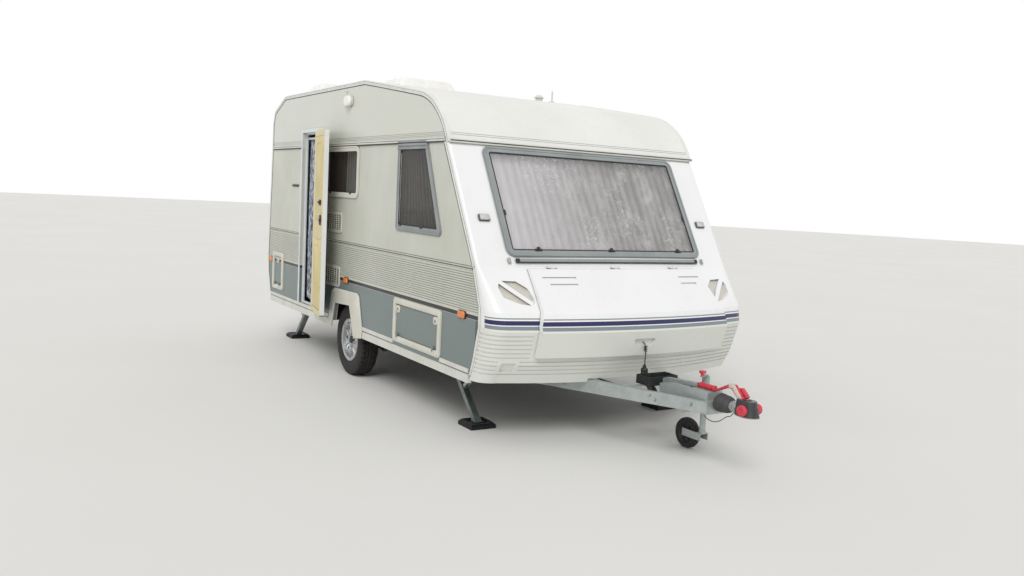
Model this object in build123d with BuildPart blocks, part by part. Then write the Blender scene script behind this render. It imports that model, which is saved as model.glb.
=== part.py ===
from build123d import *
from math import atan2, cos, degrees, pi, radians, sin, sqrt, tan
import os

# Travel caravan, drawn in millimetres: x forward from the wheel axle, y to the left,
# z up from the ground. Every piece is moved at the end so that the tow-ball socket is the origin.

# Tow ball
ball_x = 3530
ball_z = 428
ball_radius = 25

# Body shell
half_width = 1060
wall_thickness = 28
roof_thickness = 30
floor_thickness = 38
floor_top = 448
wall_bottom = 430
gutter_z = 1905
rear_seam_z = 2160
trim_thickness = 3
trim_width = 28
wall_inner = half_width - wall_thickness
floor_bottom = floor_top - floor_thickness

# Side outline from the rear sill over the roof to the front gutter: x, z
rear_outline = [(-2080, wall_bottom), (-2166, 670), (-2187, 820), (-2110, 1930),
                (-2106, rear_seam_z), (-2050, 2280), (-1755, 2400), (-1700, 2410)]
roof_outline = [(280, 2410), (574, 2368), (994, 2306), (1280, 2263)]
brow_mid = (1557, 2146)
brow_end = (1744, gutter_z)

# Line on which the side wall meets the front panel: x, z
front_seam = [(1700, gutter_z), (2155, 1130), (2262, 870), (2268, 745), (2215, 530), (2170, 400)]

# Front panel sections, from the gutter down to the skirt.
# Columns: z, side x, shoulder x, how far the shoulder lies inside the side, centre x
front_sections = [(1905, 1722, 1741, 20, 1747),
                  (1130, 2176, 2196, 20, 2206),
                  (860, 2305, 2430, 95, 2545),
                  (745, 2310, 2462, 105, 2585),
                  (530, 2250, 2390, 110, 2540),
                  (400, 2200, 2310, 110, 2480)]
front_bottom = 400
panel_thickness = 26
slope_factor = 1.16

# Gas locker lid in the front panel: half width at each height, and how far it stands out
lid_outline = [(708, 1112), (750, 870), (774, 780), (774, 583)]
lid_proud = 34
lid_thickness = 28
locker_mouth_inset = 45
lid_hinge_x = 2240
lid_hinge_z = 1122
lid_hinges = (-520, 0, 520)
small_pin_radius = 2.5

# Windows and openings in the side walls: x0, z0, x1, z1
door_opening = (-1173, 469, -640, 2044)
kitchen_window = (-570, 1480, 226, 1904)
left_window = (-650, 1330, 450, 1880)
upper_vent = (-540, 1180, -110, 1355)
lower_vent = (-550, 720, -125, 900)
front_locker = (990, 460, 1755, 785)
rear_locker = (-1994, 515, -1660, 885)
side_window = [(972, 1275), (1710, 1275), (1446, 1905), (972, 1905)]
window_radius = 60
frame_lap = 18
frame_proud = 9
frame_band = 45
glass_thickness = 8
curtain_thickness = 22
curtain_gap = 0.3
front_curtain_gap = 5.8

# Entry door
door_thickness = 38
door_gap = 6
door_frame_band = 32
door_stop = 14
hinge_out = 20
hinge_pin_radius = 4
hinge_knuckle_radius = 9
hinge_height = 60
hinge_levels = (760, 1300, 1840)
door_open_angle = 169
running_gap = 0.05

# Wheels
tyre_radius = 297
tyre_width = 165
rim_radius = 165
flange_radius = 178
rim_width = 127
wheel_y = half_width - 122
drum_radius = 108
stub_radius = 17

# Chassis
rail_y = 560
rail_height = 90
rail_width = 45
rail_metal = 4
rail_rear = -2050
rail_front = 1950

# Corner steadies: leg pivots ahead of or behind the axle, and feet towards the body's ends
steady_y = half_width - 250
front_steady_x = 1550
rear_steady_x = -1605
steady_pivot_z = 330
leg_length = 430
leg_width = 50
leg_depth = 38
leg_metal = 4
foot_half = 95
foot_thickness = 34
foot_chamfer = 10
foot_ankle_z = 30
screw_z = 388
screw_radius = 7
brace_at = 150
brace_metal = 4
brace_spread = 16
nut_at = 300
screw_end = 455

# Jockey wheel
jockey_x = 2943
jockey_y = 222
jockey_radius = 100
jockey_width = 48
jockey_trail = 130
jockey_inner_radius = 19
jockey_outer_radius = 24
jockey_axle_radius = 8
jockey_tube_low = 296
jockey_tube_top = 500
jockey_swivel_z = 150
jockey_inner_top = 400

# Drawbar channels: where they leave the chassis rails, and their front ends
drawbar_start = 1450
drawbar_bend = 1800
drawbar_nose = ball_x - 245
drawbar_nose_y = 72
drawbar_width = 40
drawbar_rear_low = 302
drawbar_rear_high = 406
drawbar_nose_low = 361
drawbar_nose_high = 427

wheel_arch = [(-366, 354), (-281, 684), (-223, 712), (280, 723), (317, 701), (401, 458), (398, 372),
              (241, 351), (129, 602), (-212, 585), (-273, 368)]
arch_mouth = [(-273, 368), (-212, 585), (129, 602), (241, 351)]

os.makedirs("parts", exist_ok=True)
to_socket = Location((-ball_x, 0, -ball_z))


def save(piece, name):
    moved = piece.moved(to_socket)
    moved.label = name
    export_step(moved, f"parts/{name}.step")


def box_points(box):
    x0, z0, x1, z1 = box
    return [(x0, z0), (x1, z0), (x1, z1), (x0, z1)]


def rounded_polygon(points, radius, inset=0, mode=Mode.ADD):
    with BuildSketch(mode=Mode.PRIVATE) as shape:
        Polygon(*points, align=None)
        fillet(shape.vertices(), radius)
        if inset:
            offset(amount=-inset)
    add(shape.sketch, mode=mode)


def span_box(x0, x1, y0, y1, z0, z1, mode=Mode.ADD):
    with Locations(((x0 + x1) / 2, (y0 + y1) / 2, (z0 + z1) / 2)):
        Box(abs(x1 - x0), abs(y1 - y0), abs(z1 - z0), mode=mode)


def shell_outline(grow=0):
    with BuildSketch() as outline:
        with BuildLine():
            Polyline((-2000, 200), *rear_outline, *roof_outline)
            ThreePointArc(roof_outline[-1], brow_mid, brow_end)
            Polyline(brow_end, (2740, 200), (-2000, 200))
        make_face()
        if grow:
            offset(amount=grow)
    return outline.sketch


def front_solid(inset):
    with BuildPart(mode=Mode.PRIVATE) as solid:
        for z, side_x, shoulder_x, shoulder_in, centre_x in front_sections:
            edge = half_width - inset
            back = inset * slope_factor
            side = (side_x - back, edge)
            shoulder = (shoulder_x - back, edge - shoulder_in)
            middle = ((side[0] + shoulder[0]) / 2, (side[1] + shoulder[1]) / 2)
            bend = (middle[0] + 0.4 * (shoulder[0] - middle[0]), middle[1] + 0.4 * (edge - middle[1]))
            with BuildSketch(Plane.XY.offset(z)):
                with BuildLine():
                    Line((1500, -edge), (side[0], -edge))
                    ThreePointArc((side[0], -edge), (bend[0], -bend[1]), (shoulder[0], -shoulder[1]))
                    ThreePointArc((shoulder[0], -shoulder[1]), (centre_x - back, 0), shoulder)
                    ThreePointArc(shoulder, bend, side)
                    Polyline(side, (1500, edge), (1500, -edge))
                make_face()
        loft(ruled=True)
    return solid.part


front_outer = front_solid(0)
front_inner = front_solid(panel_thickness)

# Planes of the front window and the rear window, seen from outside, with local y up the slope
front_slope = Plane(origin=((1747 + 2206) / 2, 0, (1905 + 1130) / 2), x_dir=(0, 1, 0),
                    z_dir=(775, 0, 459))
rear_slope = Plane(origin=(-2148.5, 0, 1375), x_dir=(0, -1, 0), z_dir=(-1110, 0, 77))
front_window_half = 825
front_window_height = 820
front_window_centre = 22
rear_window = (-600, -30, 600, 470)
front_window = (-front_window_half, front_window_centre - front_window_height / 2,
                front_window_half, front_window_centre + front_window_height / 2)


# Grooves rolled into the side walls
wall_rear = -2300
wall_front = 2300
gutter_rear = -2078
gutter_front = 1690
rib_count = 16
lowest_rib = 833
rib_pitch = 15.8
rib_depth = 3.5
line_depth = 2
band_lines = (1089, 1098)
gutter_lines = (1945, 1956, 1967)


def side_wall(openings, shapes):
    with BuildPart(mode=Mode.PRIVATE) as wall:
        with BuildSketch(Plane.XZ.offset(wall_inner)):
            with BuildLine():
                Polyline(*rear_outline, *roof_outline)
                ThreePointArc(roof_outline[-1], brow_mid, brow_end)
                Polyline(brow_end, *front_seam[:-1], (2180, wall_bottom), rear_outline[0])
            make_face()
        extrude(amount=wall_thickness)
        # Ribbed band, the double line above it, and the fine lines above the gutter
        for i in range(rib_count):
            z = lowest_rib + rib_pitch * i
            span_box(wall_rear, wall_front, -half_width - 1, -half_width + rib_depth, z, z + 6,
                     mode=Mode.SUBTRACT)
        for z in band_lines:
            span_box(wall_rear, wall_front, -half_width - 1, -half_width + line_depth, z, z + 3,
                     mode=Mode.SUBTRACT)
        for z in gutter_lines:
            span_box(gutter_rear, gutter_front, -half_width - 1, -half_width + line_depth, z, z + 4,
                     mode=Mode.SUBTRACT)
        with BuildSketch(Plane.XZ.offset(wall_inner)):
            for points, radius in openings:
                rounded_polygon(points, radius, inset=frame_lap)
            for points in shapes:
                Polygon(*points, align=None)
        extrude(amount=wall_thickness, mode=Mode.SUBTRACT)
    return wall.part


right_openings = [(box_points(kitchen_window), window_radius), (side_window, 30),
                  (box_points(upper_vent), 20), (box_points(lower_vent), 20),
                  (box_points(front_locker), 30), (box_points(rear_locker), 30)]
left_openings = [(side_window, 30), (box_points(left_window), window_radius)]
arch_cut = [(-273, 300), *arch_mouth, (241, 300)]

side_wall_right = side_wall(right_openings, [box_points(door_opening), arch_cut])
save(side_wall_right, "side_wall_right")
side_wall_left = mirror(side_wall(left_openings, [arch_cut]), about=Plane.XZ)
save(side_wall_left, "side_wall_left")


def shell_strip(keep):
    with BuildPart(mode=Mode.PRIVATE) as strip:
        with BuildSketch(Plane.XZ.offset(-wall_inner)):
            add(shell_outline())
            add(shell_outline(-roof_thickness), mode=Mode.SUBTRACT)
            Polygon(*keep, align=None, mode=Mode.INTERSECT)
        extrude(amount=2 * wall_inner)
    return strip.part


# Roof, with holes for the rooflights: centre x, centre y, size along x, size along y
rooflights = [(-215, -370, 480, 560), (-1300, -760, 400, 360)]
rooflight_height = 105
rooflight_wall = 5
with BuildPart() as roof:
    add(shell_strip([(-2400, rear_seam_z), (0, rear_seam_z), (0, gutter_z), (1900, gutter_z),
                     (1900, 2600), (-2400, 2600)]))
    for x, y, length, width in rooflights:
        span_box(x - length / 2 + 30, x + length / 2 - 30, y - width / 2 + 30, y + width / 2 - 30,
                 2300, 2500, mode=Mode.SUBTRACT)
save(roof.part, "roof_panel")

with BuildPart() as rear_panel:
    add(shell_strip([(-2400, wall_bottom), (-1900, wall_bottom), (-1900, rear_seam_z),
                     (-2400, rear_seam_z)]))
    with BuildSketch(rear_slope.offset(-60)):
        rounded_polygon(box_points(rear_window), window_radius, inset=frame_lap)
    extrude(amount=100, mode=Mode.SUBTRACT)
save(rear_panel.part, "rear_panel")

# Grooves of the skirt: the lowest run right across, the others stop beside the lid
skirt_grooves = 10
full_grooves = 4
lowest_groove = 465
groove_pitch = 28
groove_height = 8
groove_depth = 4
groove_inner = 800
pad = (-988, 468, -852, 555)
pad_pocket = (-962, 484, -878, 540)
pocket_depth = 10
with BuildPart() as front_grooves:
    for i in range(skirt_grooves):
        low = lowest_groove + groove_pitch * i - groove_height / 2
        inner = 0 if i < full_grooves else groove_inner
        for side in (-1, 1):
            span_box(1900, 2700, side * inner, side * (half_width + 5), low, low + groove_height)
    span_box(1900, 2700, pad[0], pad[2], pad[1], pad[3], mode=Mode.SUBTRACT)
    add(front_solid(groove_depth), mode=Mode.SUBTRACT)
with BuildPart() as front_pocket:
    span_box(1900, 2700, pad_pocket[0], pad_pocket[2], pad_pocket[1], pad_pocket[3])
    add(front_solid(pocket_depth), mode=Mode.SUBTRACT)

# Grab handles: a pocket in each shoulder with a bar left across it, seen from the front: y, z
grab_pocket = [(948, 1042), (830, 1038), (765, 995), (752, 930), (779, 900), (862, 910), (955, 946),
               (968, 1000)]
grab_bar = [(960, 1030), (943, 1052), (766, 918), (783, 896)]
grab_depth = 19
grab_bar_thickness = 8
grab_back = front_solid(grab_depth)
grab_under_bar = front_solid(grab_bar_thickness)
with BuildPart() as grab_handle:
    with BuildSketch(Plane.YZ.offset(1900)):
        rounded_polygon(grab_pocket, 18)
        Polygon(*grab_bar, align=None, mode=Mode.SUBTRACT)
    extrude(amount=900)
    with BuildPart(mode=Mode.PRIVATE) as behind_bar:
        with BuildSketch(Plane.YZ.offset(1900)):
            rounded_polygon(grab_pocket, 18)
        extrude(amount=900)
        add(grab_under_bar, mode=Mode.INTERSECT)
    add(behind_bar.part)
    add(grab_back, mode=Mode.SUBTRACT)
    mirror(about=Plane.XZ)

# Front panel, with its window, the gas locker's mouth and the moulded ribs of the skirt
with BuildPart() as front_panel:
    add(front_outer)
    add(front_inner, mode=Mode.SUBTRACT)
    with BuildSketch(Plane.XZ.offset(-1100)):
        Polygon(*front_seam, (3000, front_bottom), (3000, gutter_z), align=None)
    extrude(amount=2200, mode=Mode.INTERSECT)
    with BuildSketch(front_slope.offset(-60)):
        rounded_polygon(box_points(front_window), window_radius, inset=frame_lap)
    extrude(amount=100, mode=Mode.SUBTRACT)
    with BuildSketch(Plane.YZ.offset(2100)):
        mouth = [(y - locker_mouth_inset, z) for y, z in lid_outline]
        mouth[0] = (mouth[0][0], mouth[0][1] - locker_mouth_inset)
        mouth[-1] = (mouth[-1][0], mouth[-1][1] + locker_mouth_inset)
        Polygon(*mouth, *[(-y, z) for y, z in reversed(mouth)], align=None)
    extrude(amount=900, mode=Mode.SUBTRACT)
    # Notch over the drawbar
    span_box(2300, 2700, -350, 350, front_bottom - 1, 422, mode=Mode.SUBTRACT)
    add(front_grooves.part, mode=Mode.SUBTRACT)
    add(front_pocket.part, mode=Mode.SUBTRACT)
    add(grab_handle.part, mode=Mode.SUBTRACT)
    # Fixed halves of the lid's hinges
    for y in lid_hinges:
        for side in (-1, 1):
            span_box(2205, lid_hinge_x, y + side * 16, y + side * 34, lid_hinge_z - 4, lid_hinge_z + 4)
            with Locations(Location((lid_hinge_x, y + side * 25, lid_hinge_z), (90, 0, 0))):
                Cylinder(6, 18)
        with Locations(Location((lid_hinge_x, y, lid_hinge_z), (90, 0, 0))):
            Cylinder(small_pin_radius, 68)
save(front_panel.part, "front_panel")

# Gas locker lid: a proud shell over the mouth, with vent grooves and a recess for the hand.
# Columns of the vents: y from, y to, z
lid_vents = [(-648, -389, 1062), (-612, -402, 1023), (492, 686, 1062), (482, 632, 1023)]
lid_vent_depth = 7
lid_handle = [(-115, 695), (85, 695), (45, 646), (-75, 646)]
lid_handle_depth = 18
with BuildPart() as lid_grooves:
    for y0, y1, z in lid_vents:
        span_box(2000, 2800, y0, y1, z - 4.5, z + 4.5)
    add(front_solid(lid_vent_depth - lid_proud), mode=Mode.SUBTRACT)
with BuildPart() as lid_pocket:
    with BuildSketch(Plane.YZ.offset(2000)):
        rounded_polygon(lid_handle, 14)
    extrude(amount=900)
    add(front_solid(lid_handle_depth - lid_proud), mode=Mode.SUBTRACT)
with BuildPart() as gas_lid:
    add(front_solid(-lid_proud))
    add(front_solid(-lid_proud + lid_thickness), mode=Mode.SUBTRACT)
    with BuildSketch(Plane.YZ.offset(2000)):
        Polygon(*lid_outline, *[(-y, z) for y, z in reversed(lid_outline)], align=None)
    extrude(amount=900, mode=Mode.INTERSECT)
    add(lid_grooves.part, mode=Mode.SUBTRACT)
    add(lid_pocket.part, mode=Mode.SUBTRACT)
    for y in lid_hinges:
        span_box(lid_hinge_x - 1, lid_hinge_x + 5, y - 15, y + 15, lid_outline[0][1] - 6, lid_hinge_z)
        with Locations(Location((lid_hinge_x, y, lid_hinge_z), (90, 0, 0))):
            Cylinder(6, 30)
            Cylinder(small_pin_radius + running_gap, 30, mode=Mode.SUBTRACT)
save(gas_lid.part, "gas_locker_lid")

# Gas locker box behind the front panel
locker_back = 1950
locker_half = 790
locker_metal = 6
locker_low = 431
locker_high = 1095
with BuildPart() as gas_locker:
    span_box(locker_back, 2600, -locker_half, locker_half, locker_low, locker_high)
    add(front_inner, mode=Mode.INTERSECT)
    span_box(locker_back + locker_metal, 2700, -locker_half + locker_metal,
             locker_half - locker_metal, locker_low + locker_metal, locker_high - locker_metal,
             mode=Mode.SUBTRACT)
save(gas_locker.part, "gas_locker_box")

# Floor, cut round the wheel boxes
box_half_length = 370
box_inner = 770
box_top = 672
with BuildPart() as floor:
    span_box(-2040, locker_back, -wall_inner, wall_inner, floor_bottom, floor_top)
    for side in (-1, 1):
        span_box(-box_half_length, box_half_length, side * box_inner, side * wall_inner,
                 floor_bottom, floor_top, mode=Mode.SUBTRACT)
save(floor.part, "floor")

box_metal = 5
with BuildPart() as wheel_boxes:
    for side in (-1, 1):
        span_box(-box_half_length, box_half_length, side * box_inner, side * wall_inner,
                 floor_bottom, box_top)
        span_box(-box_half_length + box_metal, box_half_length - box_metal,
                 side * (box_inner + box_metal), side * wall_inner, floor_bottom, box_top - box_metal,
                 mode=Mode.SUBTRACT)
save(wheel_boxes.part, "wheel_boxes")

# Edge trims over the corners of roof and walls, and down the front joints
seam_trim = 18
seam_line = [*front_seam[:-1], (2180, wall_bottom)]
with BuildPart() as edge_trims:
    with BuildSketch(Plane.XZ.offset(half_width)):
        add(shell_outline(trim_thickness))
        add(shell_outline(-trim_width), mode=Mode.SUBTRACT)
        Polygon((-2400, wall_bottom), (0, wall_bottom), (0, gutter_z), (1900, gutter_z),
                (1900, 2600), (-2400, 2600), align=None, mode=Mode.INTERSECT)
    extrude(amount=trim_thickness)
    with BuildSketch(Plane.XZ.offset(wall_inner)):
        add(shell_outline(trim_thickness))
        add(shell_outline(), mode=Mode.SUBTRACT)
        Polygon((-2400, wall_bottom), (0, wall_bottom), (0, gutter_z), (1900, gutter_z),
                (1900, 2600), (-2400, 2600), align=None, mode=Mode.INTERSECT)
    extrude(amount=wall_thickness)
    # Trim down the joint between side wall and front panel
    with BuildSketch(Plane.XZ.offset(half_width)):
        Polygon(*[(x - seam_trim, z) for x, z in seam_line],
                *[(x + seam_trim, z) for x, z in reversed(seam_line)], align=None)
    extrude(amount=trim_thickness)
    mirror(about=Plane.XZ)
save(edge_trims.part, "edge_trims")

# Gutter rails, broken at the door on the right, and skirt rails, broken at the wheel arches
gutter_height = 26
gutter_proud = 12
gutter_low = gutter_z + 4
sill_rear = -2045
sill_front = 2150
arch_rear = -370
arch_front = 404
frame_rear = door_opening[0] - door_frame_band - 1
frame_front = door_opening[2] + door_frame_band + 1
with BuildPart() as body_rails:
    for x0, x1 in ((sill_rear, arch_rear), (arch_front, front_locker[0] - 1),
                   (front_locker[2] + 1, sill_front)):
        span_box(x0, x1, -half_width - 7, -half_width, 440, 468)
    for x0, x1 in ((sill_rear, arch_rear), (arch_front, sill_front)):
        span_box(x0, x1, -half_width - 5, -half_width + 24, 375, wall_bottom)
    mirror(about=Plane.XZ)
    for x0, x1, side in ((gutter_rear, frame_rear, -1), (frame_front, gutter_front, -1),
                         (gutter_rear, gutter_front, 1)):
        span_box(x0, x1, side * half_width, side * (half_width + gutter_proud), gutter_low,
                 gutter_low + gutter_height)
    span_box(brow_end[0] + 6, brow_end[0] + 18, -half_width, half_width, gutter_z - 4, gutter_z + 18)
save(body_rails.part, "body_rails")

# Wheel arch trims
with BuildPart() as arch_trims:
    with BuildSketch(Plane.XZ.offset(half_width)):
        Polygon(*wheel_arch, align=None)
    extrude(amount=16)
    mirror(about=Plane.XZ)
save(arch_trims.part, "wheel_arch_trims")


def window_frame(plane, points, radius, band, depth):
    # The collar fills the cut and the lip lies on the skin
    with BuildPart(mode=Mode.PRIVATE) as frame:
        with BuildSketch(plane):
            rounded_polygon(points, radius)
        extrude(amount=frame_proud)
        with BuildSketch(plane):
            rounded_polygon(points, radius, inset=frame_lap)
        extrude(amount=-depth)
        with BuildSketch(plane.offset(-depth)):
            rounded_polygon(points, radius, inset=band)
        extrude(amount=depth + frame_proud, mode=Mode.SUBTRACT)
    return frame.part


def window_pane(plane, points, radius, band):
    with BuildPart(mode=Mode.PRIVATE) as pane:
        with BuildSketch(plane.offset(-glass_thickness / 2)):
            rounded_polygon(points, radius, inset=band)
        extrude(amount=glass_thickness)
    return pane.part


right_skin = Plane.XZ.offset(half_width)

side_frame = window_frame(right_skin, side_window, 30, frame_band, wall_thickness)
side_pane = window_pane(right_skin, side_window, 30, frame_band)
with BuildPart() as window_frames:
    add(window_frame(front_slope, box_points(front_window), window_radius, frame_band,
                     panel_thickness))
    add(side_frame)
    add(mirror(side_frame, about=Plane.XZ))
    add(window_frame(right_skin, box_points(kitchen_window), window_radius, frame_band,
                     wall_thickness))
    add(mirror(window_frame(right_skin, box_points(left_window), window_radius, frame_band,
                            wall_thickness), about=Plane.XZ))
    add(window_frame(rear_slope, box_points(rear_window), window_radius, frame_band,
                     roof_thickness))
    # Rail below the front window
    with BuildSketch(front_slope.offset(-14)):
        with Locations((0, -418)):
            Rectangle(1500, 24)
    extrude(amount=24)
    add(front_solid(-0.3), mode=Mode.SUBTRACT)
save(window_frames.part, "window_frames")

with BuildPart() as window_panes:
    add(window_pane(front_slope, box_points(front_window), window_radius, frame_band))
    add(side_pane)
    add(mirror(side_pane, about=Plane.XZ))
    add(window_pane(right_skin, box_points(kitchen_window), window_radius, frame_band))
    add(mirror(window_pane(right_skin, box_points(left_window), window_radius, frame_band),
               about=Plane.XZ))
    add(window_pane(rear_slope, box_points(rear_window), window_radius, frame_band))
save(window_panes.part, "window_panes")


def curtain(plane, points, radius, depth, gap=curtain_gap):
    with BuildPart(mode=Mode.PRIVATE) as cloth:
        with BuildSketch(plane.offset(-depth - gap)):
            rounded_polygon(points, radius)
        extrude(amount=-curtain_thickness)
    return cloth.part


side_cloth = curtain(right_skin, side_window, 30, wall_thickness)
with BuildPart() as curtains:
    add(side_cloth)
    add(mirror(side_cloth, about=Plane.XZ))
    add(curtain(right_skin, box_points(kitchen_window), window_radius, wall_thickness))
    add(mirror(curtain(right_skin, box_points(left_window), window_radius, wall_thickness),
               about=Plane.XZ))
    add(curtain(rear_slope, box_points(rear_window), window_radius, roof_thickness))
    add(curtain(front_slope, box_points(front_window), window_radius, panel_thickness,
                front_curtain_gap))
save(curtains.part, "window_curtains")

# Louvred vents of the refrigerator
vent_proud = 8
with BuildPart() as vents:
    for box in (upper_vent, lower_vent):
        x0, z0, x1, z1 = box
        with BuildSketch(right_skin):
            rounded_polygon(box_points(box), 20)
        extrude(amount=vent_proud)
        with BuildSketch(right_skin):
            rounded_polygon(box_points(box), 20, inset=frame_lap)
        extrude(amount=-wall_thickness)
        slots = int((z1 - z0 - 60) / 18)
        for i in range(slots):
            z = z0 + 36 + 18 * i
            span_box(x0 + 40, x1 - 40, -half_width - vent_proud, -wall_inner, z, z + 7,
                     mode=Mode.SUBTRACT)
save(vents.part, "fridge_vents")

# Locker hatches and their frames. Columns: opening, name, both sides
hatch_band = 45
hatch_gap = 5
hatch_hinge_y = -half_width - frame_proud - 6
hatch_knuckle_radius = 5


def hatch_hinge_z(box):
    return box[1] + hatch_band + hatch_gap - 10


def hatch_hinge_stations(box):
    return (box[0] + 90, box[2] - 90)


with BuildPart() as hatch_frames:
    for box in (front_locker, rear_locker):
        add(window_frame(right_skin, box_points(box), 30, hatch_band, wall_thickness))
    for box in (front_locker, rear_locker):
        hinge_z = hatch_hinge_z(box)
        for x in hatch_hinge_stations(box):
            for side in (-1, 1):
                span_box(x + side * 11, x + side * 25, hatch_hinge_y - 3, -half_width - frame_proud,
                         hinge_z - 12, hinge_z)
                with Locations(Location((x + side * 18, hatch_hinge_y, hinge_z), (0, 90, 0))):
                    Cylinder(hatch_knuckle_radius, 14)
            with Locations(Location((x, hatch_hinge_y, hinge_z), (0, 90, 0))):
                Cylinder(small_pin_radius, 50)
save(hatch_frames.part, "hatch_frames")


def hatch(box):
    with BuildPart(mode=Mode.PRIVATE) as leaf:
        with BuildSketch(right_skin.offset(-20)):
            rounded_polygon(box_points(box), 30, inset=hatch_band + hatch_gap)
        extrude(amount=22)
        low = box[1] + hatch_band + hatch_gap
        for x in hatch_hinge_stations(box):
            span_box(x - 10, x + 10, hatch_hinge_y - 3, -half_width - 2, low + 2, low + 18)
            span_box(x - 10, x + 10, hatch_hinge_y - 5, hatch_hinge_y - 1, hatch_hinge_z(box), low + 18)
            with Locations(Location((x, hatch_hinge_y, hatch_hinge_z(box)), (0, 90, 0))):
                Cylinder(hatch_knuckle_radius, 20)
                Cylinder(small_pin_radius + running_gap, 20, mode=Mode.SUBTRACT)
    return leaf.part


save(hatch(front_locker), "front_locker_hatch")
save(hatch(rear_locker), "rear_locker_hatch")

# Door frame with a stop inside, and the fixed halves of the hinges
door_x0, door_z0, door_x1, door_z1 = door_opening
hinge_x = door_x1
hinge_y = -half_width - hinge_out
with BuildPart() as door_frame:
    with BuildSketch(right_skin):
        Polygon(*box_points((door_x0 - door_frame_band, door_z0, door_x1 + door_frame_band,
                             door_z1 + door_frame_band)), align=None)
        Polygon(*box_points(door_opening), align=None, mode=Mode.SUBTRACT)
    extrude(amount=5)
    # Inner frame on the wall, with the stop that the door shuts against
    with BuildSketch(Plane.XZ.offset(wall_inner)):
        Polygon(*box_points((door_x0 - 20, door_z0 - 16, door_x1 + 20, door_z1 + 20)), align=None)
        Polygon(*box_points(door_opening), align=None, mode=Mode.SUBTRACT)
    extrude(amount=-20)
    with BuildSketch(Plane.XZ.offset(wall_inner - 8)):
        Polygon(*box_points((door_x0 - 20, door_z0 - 16, door_x1 + 20, door_z1 + 20)), align=None)
        Polygon(*box_points((door_x0 + door_stop, door_z0 + door_stop, door_x1 - door_stop,
                             door_z1 - door_stop)), align=None, mode=Mode.SUBTRACT)
    extrude(amount=-12)
    # Rail of the fly curtain
    span_box(door_x0, door_x1, -wall_inner + 20, -wall_inner + 92, door_z1 - 59.7, door_z1 - 40)
    for z in hinge_levels:
        with Locations((hinge_x, hinge_y, z - hinge_height / 4)):
            Cylinder(hinge_knuckle_radius, hinge_height / 2)
        with Locations((hinge_x, hinge_y, z)):
            Cylinder(hinge_pin_radius, hinge_height)
        span_box(hinge_x + 4, hinge_x + 22, hinge_y + 2, -half_width - 5, z - hinge_height / 2, z)
save(door_frame.part, "door_frame")

door_width = door_x1 - door_x0 - 2 * door_gap
door_face_y = hinge_y + 12
opened = Location((hinge_x, hinge_y, 0), (0, 0, door_open_angle)) * Location((-hinge_x, -hinge_y, 0))
with BuildPart() as door_panel:
    with BuildSketch(Plane.XZ.offset(-door_face_y - door_thickness)):
        rounded_polygon(box_points((door_x0 + door_gap, door_z0 + door_gap, door_x1 - door_gap,
                                    door_z1 - door_gap)), 20)
    extrude(amount=door_thickness)
    # Recessed lining on the inner face, above and below the lock
    for z0, z1 in ((door_z0 + 50, door_z0 + 650), (door_z0 + 800, door_z1 - 54)):
        span_box(door_x0 + 48, door_x1 - 48, door_face_y + door_thickness - 5,
                 door_face_y + door_thickness + 1, z0, z1, mode=Mode.SUBTRACT)
    for z in hinge_levels:
        span_box(hinge_x - door_gap - 14, hinge_x, hinge_y + 2, door_face_y, z + 0.3, z + hinge_height / 2)
        with Locations((hinge_x, hinge_y, z + 0.3 + hinge_height / 4)):
            Cylinder(hinge_knuckle_radius, hinge_height / 2)
        with Locations((hinge_x, hinge_y, z + hinge_height / 4)):
            Cylinder(hinge_pin_radius + running_gap, hinge_height * 2, mode=Mode.SUBTRACT)
save(opened * door_panel.part, "door_panel")

lock_z = 1190
with BuildPart() as door_fittings:
    span_box(door_x0 + 30, door_x0 + 130, door_face_y + door_thickness,
             door_face_y + door_thickness + 14, lock_z - 22, lock_z + 22)
    span_box(door_x0 + 45, door_x0 + 165, door_face_y - 16, door_face_y, lock_z + 60, lock_z + 110)
save(opened * door_fittings.part, "door_fittings")

with BuildPart() as fly_curtain:
    span_box(door_x0 + 24, door_x0 + 134, -wall_inner + 27, -wall_inner + 87, door_z0 + 30,
             door_z1 - 60)
save(fly_curtain.part, "door_fly_curtain")

# Rooflights: domed boxes over the roof's holes
with BuildPart() as rooflight_domes:
    for x, y, length, width in rooflights:
        with BuildSketch(Plane.XY.offset(2410)):
            with Locations((x, y)):
                RectangleRounded(length, width, 40)
        with BuildSketch(Plane.XY.offset(2410 + rooflight_height)):
            with Locations((x, y)):
                RectangleRounded(length - 90, width - 90, 30)
        loft()
        with BuildSketch(Plane.XY.offset(2410)):
            with Locations((x, y)):
                RectangleRounded(length - 20, width - 20, 30)
        with BuildSketch(Plane.XY.offset(2410 + rooflight_height - rooflight_wall)):
            with Locations((x, y)):
                RectangleRounded(length - 100, width - 100, 25)
        loft(mode=Mode.SUBTRACT)
save(rooflight_domes.part, "rooflights")

# Mushroom vent and short aerial post
with BuildPart() as roof_vent:
    with Locations((150, 660, 2410 + 20)):
        Cylinder(32, 40)
    with Locations((150, 660, 2410 + 52)):
        Cone(48, 20, 24)
    with Locations((240, 740, 2410 + 50)):
        Cylinder(7, 100)
    with Locations((240, 740, 2410 + 6)):
        Cylinder(22, 12)
save(roof_vent.part, "roof_vent_and_aerial")

with BuildPart() as awning_lamp:
    with Locations((-40, -half_width - 22, 2265)):
        Box(180, 44, 90)
    fillet(awning_lamp.faces().sort_by(Axis.Y)[0].edges(), 15)
save(awning_lamp.part, "awning_lamp")

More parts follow.
